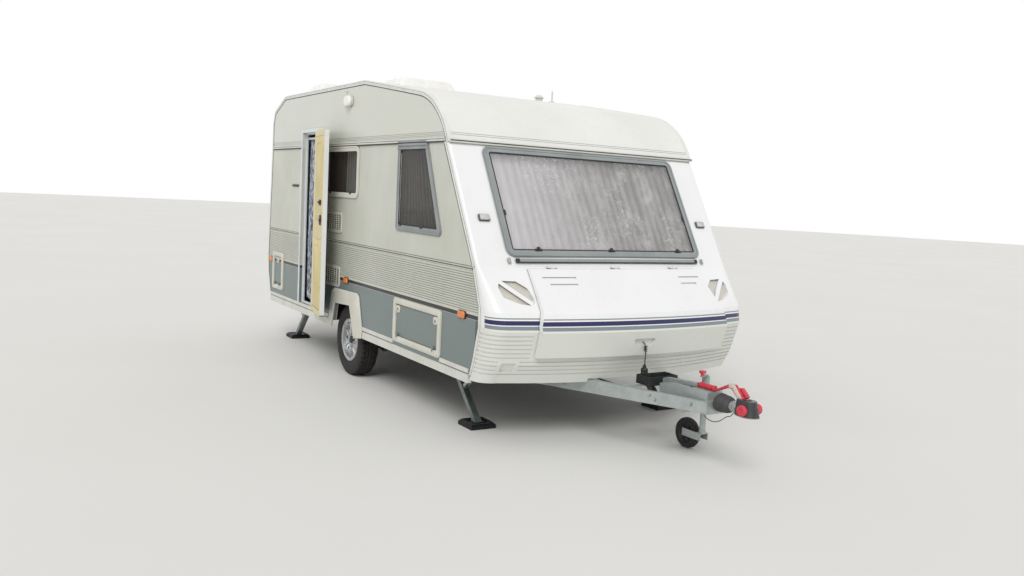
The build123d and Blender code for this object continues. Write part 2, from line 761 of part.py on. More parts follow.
# Marker lamps: orange on the stripe of both sides, white at the front, red at the rear
marker_proud = 14
with BuildPart() as marker_lamps:
    for x in (-2113, 18, 2035):
        span_box(x + (52 if x < -2000 else 0) - 52, x + (52 if x < -2000 else 0) + 52,
                 -half_width - marker_proud, -half_width, 775, 825)
    mirror(about=Plane.XZ)
    with BuildSketch(front_slope.offset(-20)):
        with Locations((half_width - 128, -110), (128 - half_width, -110)):
            RectangleRounded(82, 48, 12)
    extrude(amount=36)
    add(front_solid(-0.3), mode=Mode.SUBTRACT)
save(marker_lamps.part, "marker_lamps")


def rear_strip(thickness, low, high, inner, outer):
    # A moulding on the rear panel, following its slope
    with BuildPart(mode=Mode.PRIVATE) as strip:
        for side in (-1, 1) if inner else (0,):
            near = -outer if side == 0 else min(side * inner, side * outer)
            with BuildSketch(Plane.XZ.offset(-near)):
                add(shell_outline(thickness))
                add(shell_outline(), mode=Mode.SUBTRACT)
                Polygon((-2400, low), (-1900, low), (-1900, high), (-2400, high), align=None,
                        mode=Mode.INTERSECT)
            extrude(amount=-(outer - inner) if side else -2 * outer)
    return strip.part


save(rear_strip(28, 560, 720, half_width - 440, half_width - 60), "rear_lamps")
save(rear_strip(22, 415, 545, 0, wall_inner), "rear_bumper")

# Chassis: two channel rails and three cross members under the floor
rail_top = floor_bottom
with BuildPart() as chassis:
    for side in (-1, 1):
        y0 = side * (rail_y - rail_width / 2)
        y1 = side * (rail_y + rail_width / 2)
        span_box(rail_rear, rail_front, y0, y1, rail_top - rail_height, rail_top)
        span_box(rail_rear, rail_front, y0, y1 - side * rail_metal, rail_top - rail_height + rail_metal,
                 rail_top - rail_metal, mode=Mode.SUBTRACT)
    for x in (-1990, -700, 700, 1400):
        span_box(x - 25, x + 25, -rail_y + rail_width / 2, rail_y - rail_width / 2,
                 rail_top - 60, rail_top)
save(chassis.part, "chassis_rails")

# Drawbar: two channels bolted inside the chassis rails that taper and meet at the nose plate
rail_inner = rail_y - rail_width / 2
drawbar_rear_y = rail_inner - drawbar_width / 2
drawbar_metal = 5
plate_thickness = 30
tray_mid = 2732
with BuildPart() as drawbar:
    for side in (-1, 1):
        span_box(drawbar_start, drawbar_bend, side * (rail_inner - drawbar_width), side * rail_inner,
                 drawbar_rear_low, drawbar_rear_high)
        for shrink, mode in ((0, Mode.ADD), (drawbar_metal, Mode.SUBTRACT)):
            for x, y, low, high in ((drawbar_bend, drawbar_rear_y, drawbar_rear_low, drawbar_rear_high),
                                    (drawbar_nose, drawbar_nose_y, drawbar_nose_low, drawbar_nose_high)):
                with BuildSketch(Plane.YZ.offset(x)):
                    with Locations((side * (y - shrink), (low + high) / 2)):
                        Rectangle(drawbar_width, high - low - 2 * shrink)
            loft(ruled=True, mode=mode)
    # Nose plate, and the strap that carries the tray
    span_box(drawbar_nose - plate_thickness, drawbar_nose, -92, 92, 355, 432)
    span_box(tray_mid - 15, tray_mid + 15, -255, 255, 416, 423)
save(drawbar.part, "drawbar")

# Axle: cross tube below the chassis rails, saddles, trailing arms, back plates and stubs
axle_tube_x = 175
axle_tube_z = 270
axle_tube_radius = 46
brake_rod_z = 330
brake_rod_end = 3049.7
with BuildPart() as axle:
    with Locations(Location((axle_tube_x, 0, axle_tube_z), (90, 0, 0))):
        Cylinder(axle_tube_radius, 1560)
    span_box(axle_tube_x, axle_tube_x + 90, -30, 30, axle_tube_z - 10, brake_rod_z + 14)
    for side in (-1, 1):
        span_box(axle_tube_x - 60, axle_tube_x + 60, side * (rail_y - 24), side * (rail_y + 24),
                 axle_tube_z - 10, rail_top - rail_height)
        with BuildSketch(Plane.XZ.offset(-side * 762)):
            with BuildLine():
                Polyline((axle_tube_x + 50, axle_tube_z + 40), (axle_tube_x + 50, axle_tube_z - 45),
                         (-40, tyre_radius - 38), (-40, tyre_radius + 38),
                         (axle_tube_x + 50, axle_tube_z + 40))
            make_face()
        extrude(amount=-side * 30)
        with Locations(Location((0, side * 800, tyre_radius), (90, 0, 0))):
            Cylinder(drum_radius + 6, 16)
        with Locations(Location((0, side * 860, tyre_radius), (90, 0, 0))):
            Cylinder(stub_radius, 160)
    # Brake rod from the middle of the axle to the overrun device
    with Locations(Location(((axle_tube_x + 80 + brake_rod_end) / 2, 0, brake_rod_z), (0, 90, 0))):
        Cylinder(6, brake_rod_end - axle_tube_x - 80)
save(axle.part, "axle")


def wheel_parts():
    half = tyre_width / 2
    bead = rim_width / 2 - 0.5
    with BuildPart(mode=Mode.PRIVATE) as tyre:
        with BuildSketch(Plane.YZ):
            with BuildLine():
                Polyline((wheel_y - bead, tyre_radius + rim_radius + 0.3),
                         (wheel_y - bead, tyre_radius + flange_radius + 3),
                         (wheel_y - half, tyre_radius + 238), (wheel_y - 64, 2 * tyre_radius),
                         (wheel_y + 64, 2 * tyre_radius), (wheel_y + half, tyre_radius + 238),
                         (wheel_y + bead, tyre_radius + flange_radius + 3),
                         (wheel_y + bead, tyre_radius + rim_radius + 0.3),
                         (wheel_y - bead, tyre_radius + rim_radius + 0.3))
            make_face()
        revolve(axis=Axis((0, 0, tyre_radius), (0, 1, 0)))
    with BuildPart(mode=Mode.PRIVATE) as rim:
        with BuildSketch(Plane.YZ):
            with BuildLine():
                inner_edge = wheel_y - rim_width / 2
                outer_edge = wheel_y + rim_width / 2
                Polyline((inner_edge - 6, tyre_radius + flange_radius), (inner_edge, tyre_radius + flange_radius),
                         (inner_edge, tyre_radius + rim_radius), (outer_edge, tyre_radius + rim_radius),
                         (outer_edge, tyre_radius + flange_radius),
                         (outer_edge + 6, tyre_radius + flange_radius),
                         (outer_edge + 6, tyre_radius + rim_radius - 12),
                         (wheel_y + 42, tyre_radius + 150), (wheel_y + 46, tyre_radius + 60),
                         (wheel_y + 40, tyre_radius), (wheel_y + 20, tyre_radius),
                         (wheel_y + 20, tyre_radius + 60), (wheel_y + 22, tyre_radius + 150),
                         (inner_edge - 6, tyre_radius + 155),
                         (inner_edge - 6, tyre_radius + flange_radius))
            make_face()
        revolve(axis=Axis((0, 0, tyre_radius), (0, 1, 0)))
        # drum behind the disc
        with Locations(Location((0, (wheel_y + 21 + 816) / 2, tyre_radius), (90, 0, 0))):
            Cylinder(drum_radius, wheel_y + 21 - 816)
        with Locations(Location((0, 860, tyre_radius), (90, 0, 0))):
            Cylinder(stub_radius + running_gap, 161, mode=Mode.SUBTRACT)
        # slots round the disc
        with BuildSketch(Plane.XZ.offset(-wheel_y)):
            with Locations((0, tyre_radius)):
                with PolarLocations(118, 8):
                    SlotOverall(46, 22)
        extrude(amount=-60, mode=Mode.SUBTRACT)
    return tyre.part, rim.part


tyre_left, rim_left = wheel_parts()
save(tyre_left, "tyre_left")
save(rim_left, "rim_left")
save(mirror(tyre_left, about=Plane.XZ), "tyre_right")
save(mirror(rim_left, about=Plane.XZ), "rim_right")

# Overrun device between the drawbar rails: open housing, bellows, shaft and coupling head
shaft_radius = 24
nose_back = drawbar_nose - plate_thickness - 0.3
housing_rear = 2830
housing_tube_start = brake_rod_end + 12.3
housing_half = 60
housing_metal = 8
housing_low = 395
housing_top = 480
cover_start = 3115
lever_pivot = (2852, 432)
lever_pin_radius = 8
with BuildPart() as overrun:
    with Locations(Location(((housing_tube_start + nose_back) / 2, 0, ball_z - 4), (0, 90, 0))):
        Cylinder(38, nose_back - housing_tube_start)
    span_box(nose_back - 15, nose_back, -housing_half, housing_half, 361, housing_top)
    span_box(cover_start, nose_back, -housing_half, housing_half, housing_top - housing_metal,
             housing_top)
    span_box(housing_tube_start - 12, housing_tube_start, -housing_half, housing_half,
             brake_rod_z - 14, 455)
    for y in (housing_half - housing_metal, -housing_half):
        with BuildSketch(Plane.XZ.offset(y)):
            Polygon((housing_rear, housing_low), (nose_back, housing_low), (nose_back, housing_top),
                    (2960, housing_top), (housing_rear, 452), align=None)
        extrude(amount=housing_metal)
    with Locations(Location((lever_pivot[0], 0, lever_pivot[1]), (90, 0, 0))):
        Cylinder(lever_pin_radius + running_gap, 2 * housing_half, mode=Mode.SUBTRACT)
save(overrun.part, "overrun_housing")

# Bellows: three ribs and a longer sleeve. Columns: how far from the nose plate, radius
bellows_length = 112
bellows_profile = [(0, 36), (8, 50), (20, 56), (28, 44), (38, 55), (48, 44), (58, 52), (68, 46), (76, 52),
                   (98, 46), (bellows_length, 34)]
with BuildPart() as bellows:
    with BuildSketch(Plane.XZ):
        with BuildLine():
            points = [(drawbar_nose + step, ball_z + radius) for step, radius in bellows_profile]
            Polyline(*points, (drawbar_nose + bellows_length, ball_z + shaft_radius),
                     (drawbar_nose, ball_z + shaft_radius), points[0])
        make_face()
    revolve(axis=Axis((0, 0, ball_z), (1, 0, 0)))
save(bellows.part, "drawbar_bellows")

head_back = ball_x - 75
casting_back = drawbar_nose + bellows_length + 0.3
casting_length = 58
with BuildPart() as shaft:
    with Locations(Location(((drawbar_nose + head_back - 0.3) / 2, 0, ball_z), (0, 90, 0))):
        Cylinder(shaft_radius - running_gap, head_back - 0.3 - drawbar_nose)
    with Locations(Location((casting_back + (head_back - 0.3 - casting_back) / 2, 0, ball_z), (0, 90, 0))):
        Cylinder(31, head_back - 0.3 - casting_back)
    for step in (20, 42):
        with Locations(Location((casting_back + step, 0, ball_z), (90, 0, 0))):
            Cylinder(9, 74)
save(shaft.part, "tow_shaft")

head_low = ball_z - 34
head_half = 54
with BuildPart() as coupling:
    with BuildSketch(Plane.XY.offset(head_low)):
        with BuildLine():
            Polyline((head_back, -40), (ball_x - 30, -head_half), (ball_x + 8, -head_half))
            ThreePointArc((ball_x + 8, -head_half), (ball_x + 62, 0), (ball_x + 8, head_half))
            Polyline((ball_x + 8, head_half), (ball_x - 30, head_half), (head_back, 40), (head_back, -40))
        make_face()
    with BuildSketch(Plane.XY.offset(head_low + 92)):
        with BuildLine():
            Polyline((head_back, -30), (ball_x - 30, -40), (ball_x - 2, -40))
            ThreePointArc((ball_x - 2, -40), (ball_x + 38, 0), (ball_x - 2, 40))
            Polyline((ball_x - 2, 40), (ball_x - 30, 40), (head_back, 30), (head_back, -30))
        make_face()
    loft()
    with Locations((ball_x, 0, ball_z)):
        Sphere(ball_radius, mode=Mode.SUBTRACT)
        with Locations((0, 0, -25)):
            Cylinder(ball_radius, 50, mode=Mode.SUBTRACT)
save(coupling.part, "coupling_head")

# Friction pads either side of the ball, the stabiliser's bent lever and the coupling's own lever.
# Points of the levers: how far ahead of the ball, height above it
stabiliser_arm = [(-76, 44), (-46, 54), (-118, 128), (-160, 124), (-274, 66), (-266, 56), (-176, 98),
                  (-138, 100)]
coupling_arm = [(-58, 50), (-38, 68), (-88, 112), (-120, 106)]
pad_inner = 42
pad_outer = 77
with BuildPart() as stabiliser:
    for side in (-1, 1):
        with Locations(Location((ball_x, side * (pad_inner + pad_outer) / 2, ball_z + 6), (90, 0, 0))):
            Cylinder(32, pad_outer - pad_inner)
    for points, y0, y1 in ((stabiliser_arm, -15, 15), (coupling_arm, 18, 44)):
        with BuildSketch(Plane.XZ.offset(-y1)):
            Polygon(*[(ball_x + ahead, ball_z + above) for ahead, above in points], align=None)
        extrude(amount=y1 - y0)
    add(coupling.part, mode=Mode.SUBTRACT)
save(stabiliser.part, "coupling_levers")

# Handbrake lever: a folded channel on a pin through the housing, with a round grip
lever_half = 16
lever_metal = 3
lever_outline = [(2806, 404), (2830, 392), (2955, 418), (3055, 472), (3112, 486), (3126, 487),
                 (3126, 508), (3112, 506), (2835, 484), (2804, 473)]
grip_start = 3118
grip_end = 3250
with BuildPart() as handbrake:
    with BuildSketch(Plane.XZ.offset(-lever_half)):
        Polygon(*lever_outline, align=None)
    extrude(amount=2 * lever_half)
    with BuildSketch(Plane.XZ.offset(lever_metal - lever_half)):
        Polygon(*[(x, z - 5) for x, z in lever_outline[2:]], (2806, 380), (2900, 360), align=None)
    extrude(amount=2 * (lever_half - lever_metal), mode=Mode.SUBTRACT)
    with Locations(Location(((grip_start + grip_end) / 2, 0, 498), (0, 88, 0))):
        Cylinder(15, grip_end - grip_start)
    with Locations(Location((lever_pivot[0], 0, lever_pivot[1]), (90, 0, 0))):
        Cylinder(lever_pin_radius, 2 * housing_half + 6)
save(handbrake.part, "handbrake_lever")

# Open tray on its strap between the drawbar rails
tray_metal = 4
with BuildPart() as tray:
    span_box(tray_mid - 62, tray_mid + 62, -120, 120, 423.2, 480)
    span_box(tray_mid - 62 + tray_metal, tray_mid + 62 - tray_metal, -120 + tray_metal,
             120 - tray_metal, 423.2 + tray_metal, 481, mode=Mode.SUBTRACT)
save(tray.part, "drawbar_tray")


def cord_tube(route, radius):
    # Straight runs joined by arcs as large as the runs allow
    points = [Vector(*point) for point in route]
    radii = []
    for before, here, after in zip(points, points[1:], points[2:]):
        turn = radians((here - before).get_angle(after - here))
        shorter = min((here - before).length, (after - here).length)
        radii.append(0.45 * shorter / tan(turn / 2))
    print("cord radii", [round(value) for value in radii])
    with BuildPart() as tube:
        with BuildLine() as path:
            FilletPolyline(*points, radius=radii)
        with BuildSketch(Plane(origin=points[0], z_dir=points[1] - points[0])):
            Circle(radius)
        sweep()
    print("cord volume over section times length",
          round(tube.part.volume / (pi * radius ** 2 * path.wire().length), 3))
    return tube.part


# Lead that hangs from the lid's handle, with its plug
plug_lead_radius = 3.5
plug_x = 2613
plug_y = -8
plug_top = 525
plug_lead_route = [(2587.5, -14, 668), (2612, -14, 662.9), (2621, -12, 612), (plug_x, plug_y, 570),
                   (plug_x, plug_y, plug_top)]
save(cord_tube(plug_lead_route, plug_lead_radius), "plug_lead")
with BuildPart() as lead_plug:
    with BuildSketch(Plane.XZ):
        with BuildLine():
            Polyline((plug_x, plug_top), (plug_x + 8, plug_top), (plug_x + 18, plug_top - 22),
                     (plug_x + 23, plug_top - 30), (plug_x + 23, plug_top - 84),
                     (plug_x, plug_top - 84), (plug_x, plug_top))
        make_face()
    revolve(axis=Axis((plug_x, 0, 0), (0, 0, 1)))
save(lead_plug.part.moved(Location((0, plug_y, 0))), "lead_plug")

# Breakaway cable that hangs in a loop below the bellows
breakaway_radius = 2.5
breakaway_route = [(3150, 0, 385.7), (3152, 0, 350), (3172, 0, 322), (3208, 0, 303), (3252, 0, 298),
                   (3295, 0, 309), (3330, 0, 333), (3362, 0, 357), (3398, 0, 366), (3414, 0, 395.5)]
save(cord_tube(breakaway_route, breakaway_radius), "breakaway_cable")

# Jockey wheel: outer tube clamped to the left rail, inner tube, swivelling fork and wheel
rail_run = Vector(drawbar_nose - drawbar_bend, drawbar_nose_y - drawbar_rear_y)
rail_turn = degrees(atan2(rail_run.Y, rail_run.X))
rail_side = Vector(-rail_run.Y, rail_run.X).normalized()
clamp_reach = (Vector(jockey_x, jockey_y) - Vector(drawbar_bend, rail_inner)).dot(rail_side)
clamp_mid = Vector(jockey_x, jockey_y) - rail_side * (clamp_reach / 2)
knob_x = jockey_x + 36
knob_y = jockey_y - 68
crank_turn = degrees(atan2(knob_y - jockey_y, knob_x - jockey_x))
with BuildPart() as jockey_clamp:
    with Locations((jockey_x, jockey_y, (jockey_tube_low + jockey_tube_top) / 2)):
        Cylinder(jockey_outer_radius, jockey_tube_top - jockey_tube_low)
    with Locations(Location((clamp_mid.X, clamp_mid.Y, 395), (0, 0, rail_turn))):
        Box(50, clamp_reach - 0.2, 56)
    with Locations((jockey_x, jockey_y, (jockey_tube_low + jockey_tube_top - 6) / 2)):
        Cylinder(jockey_inner_radius + running_gap, jockey_tube_top - 6 - jockey_tube_low,
                 mode=Mode.SUBTRACT)
    # Crank and knob on top
    with Locations((jockey_x, jockey_y, jockey_tube_top + 4)):
        Cylinder(9, 8)
    with Locations(Location(((jockey_x + knob_x) / 2, (jockey_y + knob_y) / 2, jockey_tube_top + 6),
                            (0, 0, crank_turn))):
        Box(96, 20, 5)
    with Locations((knob_x, knob_y, jockey_tube_top + 18)):
        Cylinder(11, 20)
    with Locations((knob_x, knob_y, jockey_tube_top + 36)):
        Cone(16, 22, 16)
save(jockey_clamp.part, "jockey_clamp")

jockey_axle_x = jockey_x - jockey_trail
spigot_length = 16
with BuildPart() as jockey_tube:
    with Locations((jockey_x, jockey_y, (jockey_swivel_z + 0.3 + jockey_inner_top) / 2)):
        Cylinder(jockey_inner_radius, jockey_inner_top - jockey_swivel_z - 0.3)
    with Locations((jockey_x, jockey_y, jockey_swivel_z - spigot_length / 2 + 1)):
        Cylinder(jockey_axle_radius, spigot_length + 2)
save(jockey_tube.part, "jockey_inner_tube")

fork_gap = 6
fork_metal = 4
with BuildPart() as jockey_fork:
    with Locations((jockey_x, jockey_y, jockey_swivel_z - 12)):
        Cylinder(22, 24)
    for side in (-1, 1):
        inner = jockey_width / 2 + fork_gap
        span_box(jockey_axle_x - 18, jockey_x + 20, jockey_y + side * inner,
                 jockey_y + side * (inner + fork_metal), 84, 132)
    span_box(jockey_x - 22, jockey_x + 20, jockey_y - inner, jockey_y + inner, 126, 132)
    with Locations((jockey_x, jockey_y, jockey_swivel_z - spigot_length / 2)):
        Cylinder(jockey_axle_radius + running_gap, spigot_length + 4, mode=Mode.SUBTRACT)
    with Locations(Location((jockey_axle_x, jockey_y, jockey_radius), (90, 0, 0))):
        Cylinder(jockey_axle_radius, 2 * inner + 10)
save(jockey_fork.part, "jockey_fork")
with BuildPart() as jockey_wheel:
    with Locations(Location((jockey_axle_x, jockey_y, jockey_radius), (90, 0, 0))):
        Cylinder(jockey_radius, jockey_width)
    chamfer(jockey_wheel.edges(), 12)
    with Locations(Location((jockey_axle_x, jockey_y, jockey_radius), (90, 0, 0))):
        Cylinder(jockey_axle_radius + running_gap, jockey_width, mode=Mode.SUBTRACT)
save(jockey_wheel.part, "jockey_wheel")

# Corner steadies, drawn for the front end and mirrored for the rear
drop = steady_pivot_z - foot_ankle_z
leg_angle = degrees(atan2(drop, sqrt(leg_length ** 2 - drop ** 2)))
brace_run = nut_at - brace_at * cos(radians(leg_angle))
brace_rise = screw_z - steady_pivot_z + brace_at * sin(radians(leg_angle))
brace_length = sqrt(brace_run ** 2 + brace_rise ** 2)
brace_angle = degrees(atan2(brace_rise, brace_run))
pin_radius = 6


def steady_leg():
    """Leg with its foot, pivot at the origin, foot towards +x."""
    lean = Plane(origin=(0, 0, 0), x_dir=(cos(radians(leg_angle)), 0, -sin(radians(leg_angle))),
                 z_dir=(0, -1, 0))
    with BuildPart(mode=Mode.PRIVATE) as leg:
        with BuildSketch(lean.offset(-leg_width / 2)):
            with Locations((leg_length / 2, 0)):
                SlotOverall(leg_length + leg_depth, leg_depth)
        extrude(amount=leg_width)
        with BuildSketch(lean.offset(-leg_width / 2 + leg_metal)):
            with Locations((leg_length / 2, leg_metal)):
                Rectangle(leg_length + leg_depth + 10, leg_depth)
        extrude(amount=leg_width - 2 * leg_metal, mode=Mode.SUBTRACT)
        with BuildSketch(lean.offset(-leg_width / 2)):
            Circle(pin_radius + running_gap)
        extrude(amount=leg_width, mode=Mode.SUBTRACT)
        with BuildSketch(lean.offset(-leg_width / 2)):
            with Locations((brace_at, 0)):
                Circle(pin_radius)
        extrude(amount=leg_width)
        foot_x = leg_length * cos(radians(leg_angle))
        with BuildPart(mode=Mode.PRIVATE) as foot:
            span_box(foot_x - foot_half, foot_x + foot_half, -foot_half, foot_half,
                     -steady_pivot_z, -steady_pivot_z + foot_thickness)
            chamfer(foot.faces().sort_by(Axis.Z)[-1].edges(), foot_chamfer)
        add(foot.part)
        span_box(foot_x - 30, foot_x + 30, -leg_width / 2 - 5, leg_width / 2 + 5,
                 -steady_pivot_z + foot_thickness, -steady_pivot_z + foot_ankle_z + 6)
    return leg.part


def steady_brace():
    """Two strips from the leg's pin to the nut, pivot at the leg's pin."""
    rise = Plane(origin=(brace_at * cos(radians(leg_angle)), 0, -brace_at * sin(radians(leg_angle))),
                 x_dir=(cos(radians(brace_angle)), 0, sin(radians(brace_angle))), z_dir=(0, -1, 0))
    with BuildPart(mode=Mode.PRIVATE) as brace:
        for side in (-1, 1):
            with BuildSketch(rise.offset(side * brace_spread - brace_metal / 2)):
                with Locations((brace_length / 2, 0)):
                    SlotOverall(brace_length + 24, 24)
                Circle(pin_radius + running_gap, mode=Mode.SUBTRACT)
            extrude(amount=brace_metal)
        with BuildSketch(rise.offset(-brace_spread)):
            with Locations((brace_length * 0.55, 0)):
                Circle(5)
        extrude(amount=2 * brace_spread)
    return brace.part


def steady_bracket():
    with BuildPart(mode=Mode.PRIVATE) as bracket:
        span_box(-40, screw_end, -40, 40, floor_bottom - steady_pivot_z - 4, floor_bottom - steady_pivot_z)
        for side in (-1, 1):
            span_box(-24, 24, side * 26, side * 31, -20, floor_bottom - steady_pivot_z - 4)
        with Locations(Location((0, 0, 0), (90, 0, 0))):
            Cylinder(pin_radius, 62)
        for x in (95, screw_end - 8):
            span_box(x, x + 8, -20, 20, screw_z - steady_pivot_z - 12, floor_bottom - steady_pivot_z - 4)
        with Locations(Location(((95 + screw_end) / 2, 0, screw_z - steady_pivot_z), (0, 90, 0))):
            Cylinder(screw_radius, screw_end - 95)
        span_box(nut_at - 11, nut_at + 11, -12.5, 12.5, screw_z - steady_pivot_z - 11,
                 screw_z - steady_pivot_z + 11)
    return bracket.part


corners = [("front_right", front_steady_x, -1, False), ("front_left", front_steady_x, 1, False),
           ("rear_right", rear_steady_x, -1, True), ("rear_left", rear_steady_x, 1, True)]
brackets = []
for name, x, side, flipped in corners:
    place = Location((x, side * steady_y, steady_pivot_z))
    for piece, label in ((steady_leg(), "steady_leg_"), (steady_brace(), "steady_brace_")):
        if flipped:
            piece = mirror(piece, about=Plane.YZ)
        save(place * piece, label + name)
    bracket = steady_bracket()
    if flipped:
        bracket = mirror(bracket, about=Plane.YZ)
    brackets.append(place * bracket)
with BuildPart() as steady_brackets:
    for bracket in brackets:
        add(bracket)
save(steady_brackets.part, "steady_brackets")
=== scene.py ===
import bpy
import math
import random
from mathutils import Matrix, Vector


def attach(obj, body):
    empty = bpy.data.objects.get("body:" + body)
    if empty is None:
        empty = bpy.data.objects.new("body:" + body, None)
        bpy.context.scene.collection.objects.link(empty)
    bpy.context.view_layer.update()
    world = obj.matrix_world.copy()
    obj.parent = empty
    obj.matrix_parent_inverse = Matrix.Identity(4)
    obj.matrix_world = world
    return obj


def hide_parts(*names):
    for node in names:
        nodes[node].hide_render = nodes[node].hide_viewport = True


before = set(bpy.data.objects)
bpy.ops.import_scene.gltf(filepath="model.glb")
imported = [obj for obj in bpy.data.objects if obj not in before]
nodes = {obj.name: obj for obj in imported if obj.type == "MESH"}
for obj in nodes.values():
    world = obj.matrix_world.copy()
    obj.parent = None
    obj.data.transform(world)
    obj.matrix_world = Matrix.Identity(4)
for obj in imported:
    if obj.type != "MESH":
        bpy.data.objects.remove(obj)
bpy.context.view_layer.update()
random.seed(12)
print("frame loaded,", len(nodes), "nodes")

# The drawing's own zero is on the ground below the axle; here the tow-ball socket is the zero
ballX = 3.53
ballZ = 0.428


def place(x, y, z):
    return Vector((x - ballX, y, z - ballZ))


def deselectAll():
    if bpy.context.object and bpy.context.object.mode != "OBJECT":
        bpy.ops.object.mode_set(mode="OBJECT")
    bpy.ops.object.select_all(action="DESELECT")


deselectAll()

# Camera, at the photograph's place
view = {"position": (7.0692, -3.8274, 1.583), "yaw": 148.11, "pitch": -5.945, "roll": 2.956, "lens": 31.741}
yaw, pitch, roll = (math.radians(view[key]) for key in ("yaw", "pitch", "roll"))
ahead = Vector((math.cos(yaw) * math.cos(pitch), math.sin(yaw) * math.cos(pitch), math.sin(pitch)))
level = Vector((math.sin(yaw), -math.cos(yaw), 0))
over = level.cross(ahead)
right = math.cos(roll) * level + math.sin(roll) * over
up = -math.sin(roll) * level + math.cos(roll) * over
bpy.ops.object.camera_add()
camera = bpy.context.object
camera.data.lens = view["lens"]
camera.data.sensor_width = 36
camera.data.clip_end = 200
camera.matrix_world = Matrix((right, up, -ahead)).transposed().to_4x4()
camera.location = place(*view["position"])
bpy.context.scene.camera = camera
bpy.context.scene.view_settings.view_transform = "Standard"


# Colours and nodes
def toLinear(hexColour):
    values = [int(hexColour[i:i + 2], 16) / 255 for i in (1, 3, 5)]
    return tuple(v / 12.92 if v <= 0.04045 else ((v + 0.055) / 1.055) ** 2.4 for v in values) + (1.0,)


# One node in a finish or a tree. An input is a value, a colour, a socket, or a node, for its first output
def addNode(owner, kind, inputs=None, stops=None, **settings):
    tree = owner["tree"] if isinstance(owner, dict) else owner
    node = tree.nodes.new("ShaderNode" + kind)
    for name, value in settings.items():
        setattr(node, name, value)
    for key, value in (inputs or {}).items():
        if isinstance(value, bpy.types.Node):
            value = value.outputs[0]
        if isinstance(value, bpy.types.NodeSocket):
            tree.links.new(value, node.inputs[key])
        else:
            node.inputs[key].default_value = toLinear(value) if isinstance(value, str) else value
    for i, (position, colour) in enumerate(stops or []):
        mark = node.color_ramp.elements[i] if i < 2 else node.color_ramp.elements.new(position)
        mark.position = position
        mark.color = toLinear(colour)
    return node


# A finish: two tones that drift into each other over patchMm, a grain of grainMm, and shine from low to high
def makeFinish(name, tones, patchMm, grainMm, grainDeepMm, shine, **sockets):
    material = bpy.data.materials.new(name)
    material.use_nodes = True
    tree = material.node_tree
    shader = tree.nodes["Principled BSDF"]
    spot = addNode(tree, "TexCoord")
    spots = spot.outputs["Object"]
    patches = addNode(tree, "TexNoise", {"Vector": spots, "Scale": 1000 / patchMm, "Detail": 5.0})
    drift = addNode(tree, "MapRange", {0: patches, 1: 0.35, 2: 0.65})
    colour = addNode(tree, "Mix", {0: drift, 6: tones[0], 7: tones[1]}, data_type="RGBA")
    grain = addNode(tree, "TexNoise", {"Vector": spots, "Scale": 1000 / grainMm, "Detail": 3.0})
    dull = addNode(tree, "MapRange", {0: patches, 1: 0.35, 2: 0.65, 3: shine[0], 4: shine[1]})
    bump = addNode(tree, "Bump", {"Height": grain, "Distance": grainDeepMm / 1000})
    tree.links.new(colour.outputs[2], shader.inputs["Base Color"])
    tree.links.new(dull.outputs[0], shader.inputs["Roughness"])
    tree.links.new(bump.outputs[0], shader.inputs["Normal"])
    for socket, value in sockets.items():
        shader.inputs[socket.replace("_", " ")].default_value = value
    return {"material": material, "tree": tree, "shader": shader, "spot": spot, "spots": spots,
            "colour": colour.outputs[2]}


def both(finish, first, second):
    return addNode(finish, "Math", {0: first, 1: second}, operation="MULTIPLY")


def opposite(finish, mask):
    return addNode(finish, "Math", {0: 1.0, 1: mask}, operation="SUBTRACT")


# Mask of all that lies between low and high along each axis, in the drawing's metres, or of the normal
def between(finish, spans, source="Object"):
    parts = addNode(finish, "SeparateXYZ", {0: finish["spot"].outputs[source]})
    mask = None
    for axis, (low, high) in spans.items():
        shift = (ballX, 0, ballZ)[axis] if source == "Object" else 0
        low, high = low - shift, high - shift
        inside = addNode(finish, "Math", {0: parts.outputs[axis], 1: (low + high) / 2, 2: (high - low) / 2},
                         operation="COMPARE")
        mask = inside if mask is None else both(finish, mask, inside)
    return mask


# Outlines, drawn in a plane's own level and upward metres
def roundCorners(points, radius, rows=5):
    made = []
    for before, here, after in zip(points[-1:] + points[:-1], points, points[1:] + points[:1]):
        inward = [(Vector(other) - Vector(here)).normalized() for other in (before, after)]
        half = inward[0].angle(inward[1]) / 2
        centre = Vector(here) + (inward[0] + inward[1]).normalized() * radius / math.sin(half)
        starts = [Vector(here) + way * radius / math.tan(half) - centre for way in inward]
        for k in range(rows + 1):
            made.append(tuple(centre + starts[0].slerp(starts[1], k / rows).normalized() * radius))
    return made


# Mask inside a convex outline seen from the front, the same on both sides: across, height above the ground
def insideOutline(finish, points):
    parts = addNode(finish, "SeparateXYZ", {0: finish["spots"]})
    across = addNode(finish, "Math", {0: parts.outputs[1]}, operation="ABSOLUTE")
    seen = addNode(finish, "CombineXYZ", {0: across, 1: parts.outputs[2]})
    points = [Vector((y, z - ballZ, 0)) for y, z in points]
    heart = sum(points, Vector()) / len(points)
    mask = 1.0
    for start, end in zip(points, points[1:] + points[:1]):
        inward = Vector((start.y - end.y, end.x - start.x, 0)).normalized()
        if inward.dot(heart - start) < 0:
            inward = -inward
        along = addNode(finish, "VectorMath", {0: seen, 1: inward}, operation="DOT_PRODUCT")
        inside = addNode(finish, "Math", {0: along.outputs["Value"], 1: inward.dot(start)}, operation="GREATER_THAN")
        mask = both(finish, mask, inside)
    return mask


# Another colour over a finish where the mask is 1
def layOver(finish, mask, tone):
    mix = addNode(finish, "Mix", {0: mask, 6: finish["colour"], 7: tone}, data_type="RGBA")
    finish["colour"] = mix.outputs[2]
    finish["tree"].links.new(mix.outputs[2], finish["shader"].inputs["Base Color"])


def addBand(finish, tone, spans, source="Object"):
    layOver(finish, between(finish, spans, source), tone)


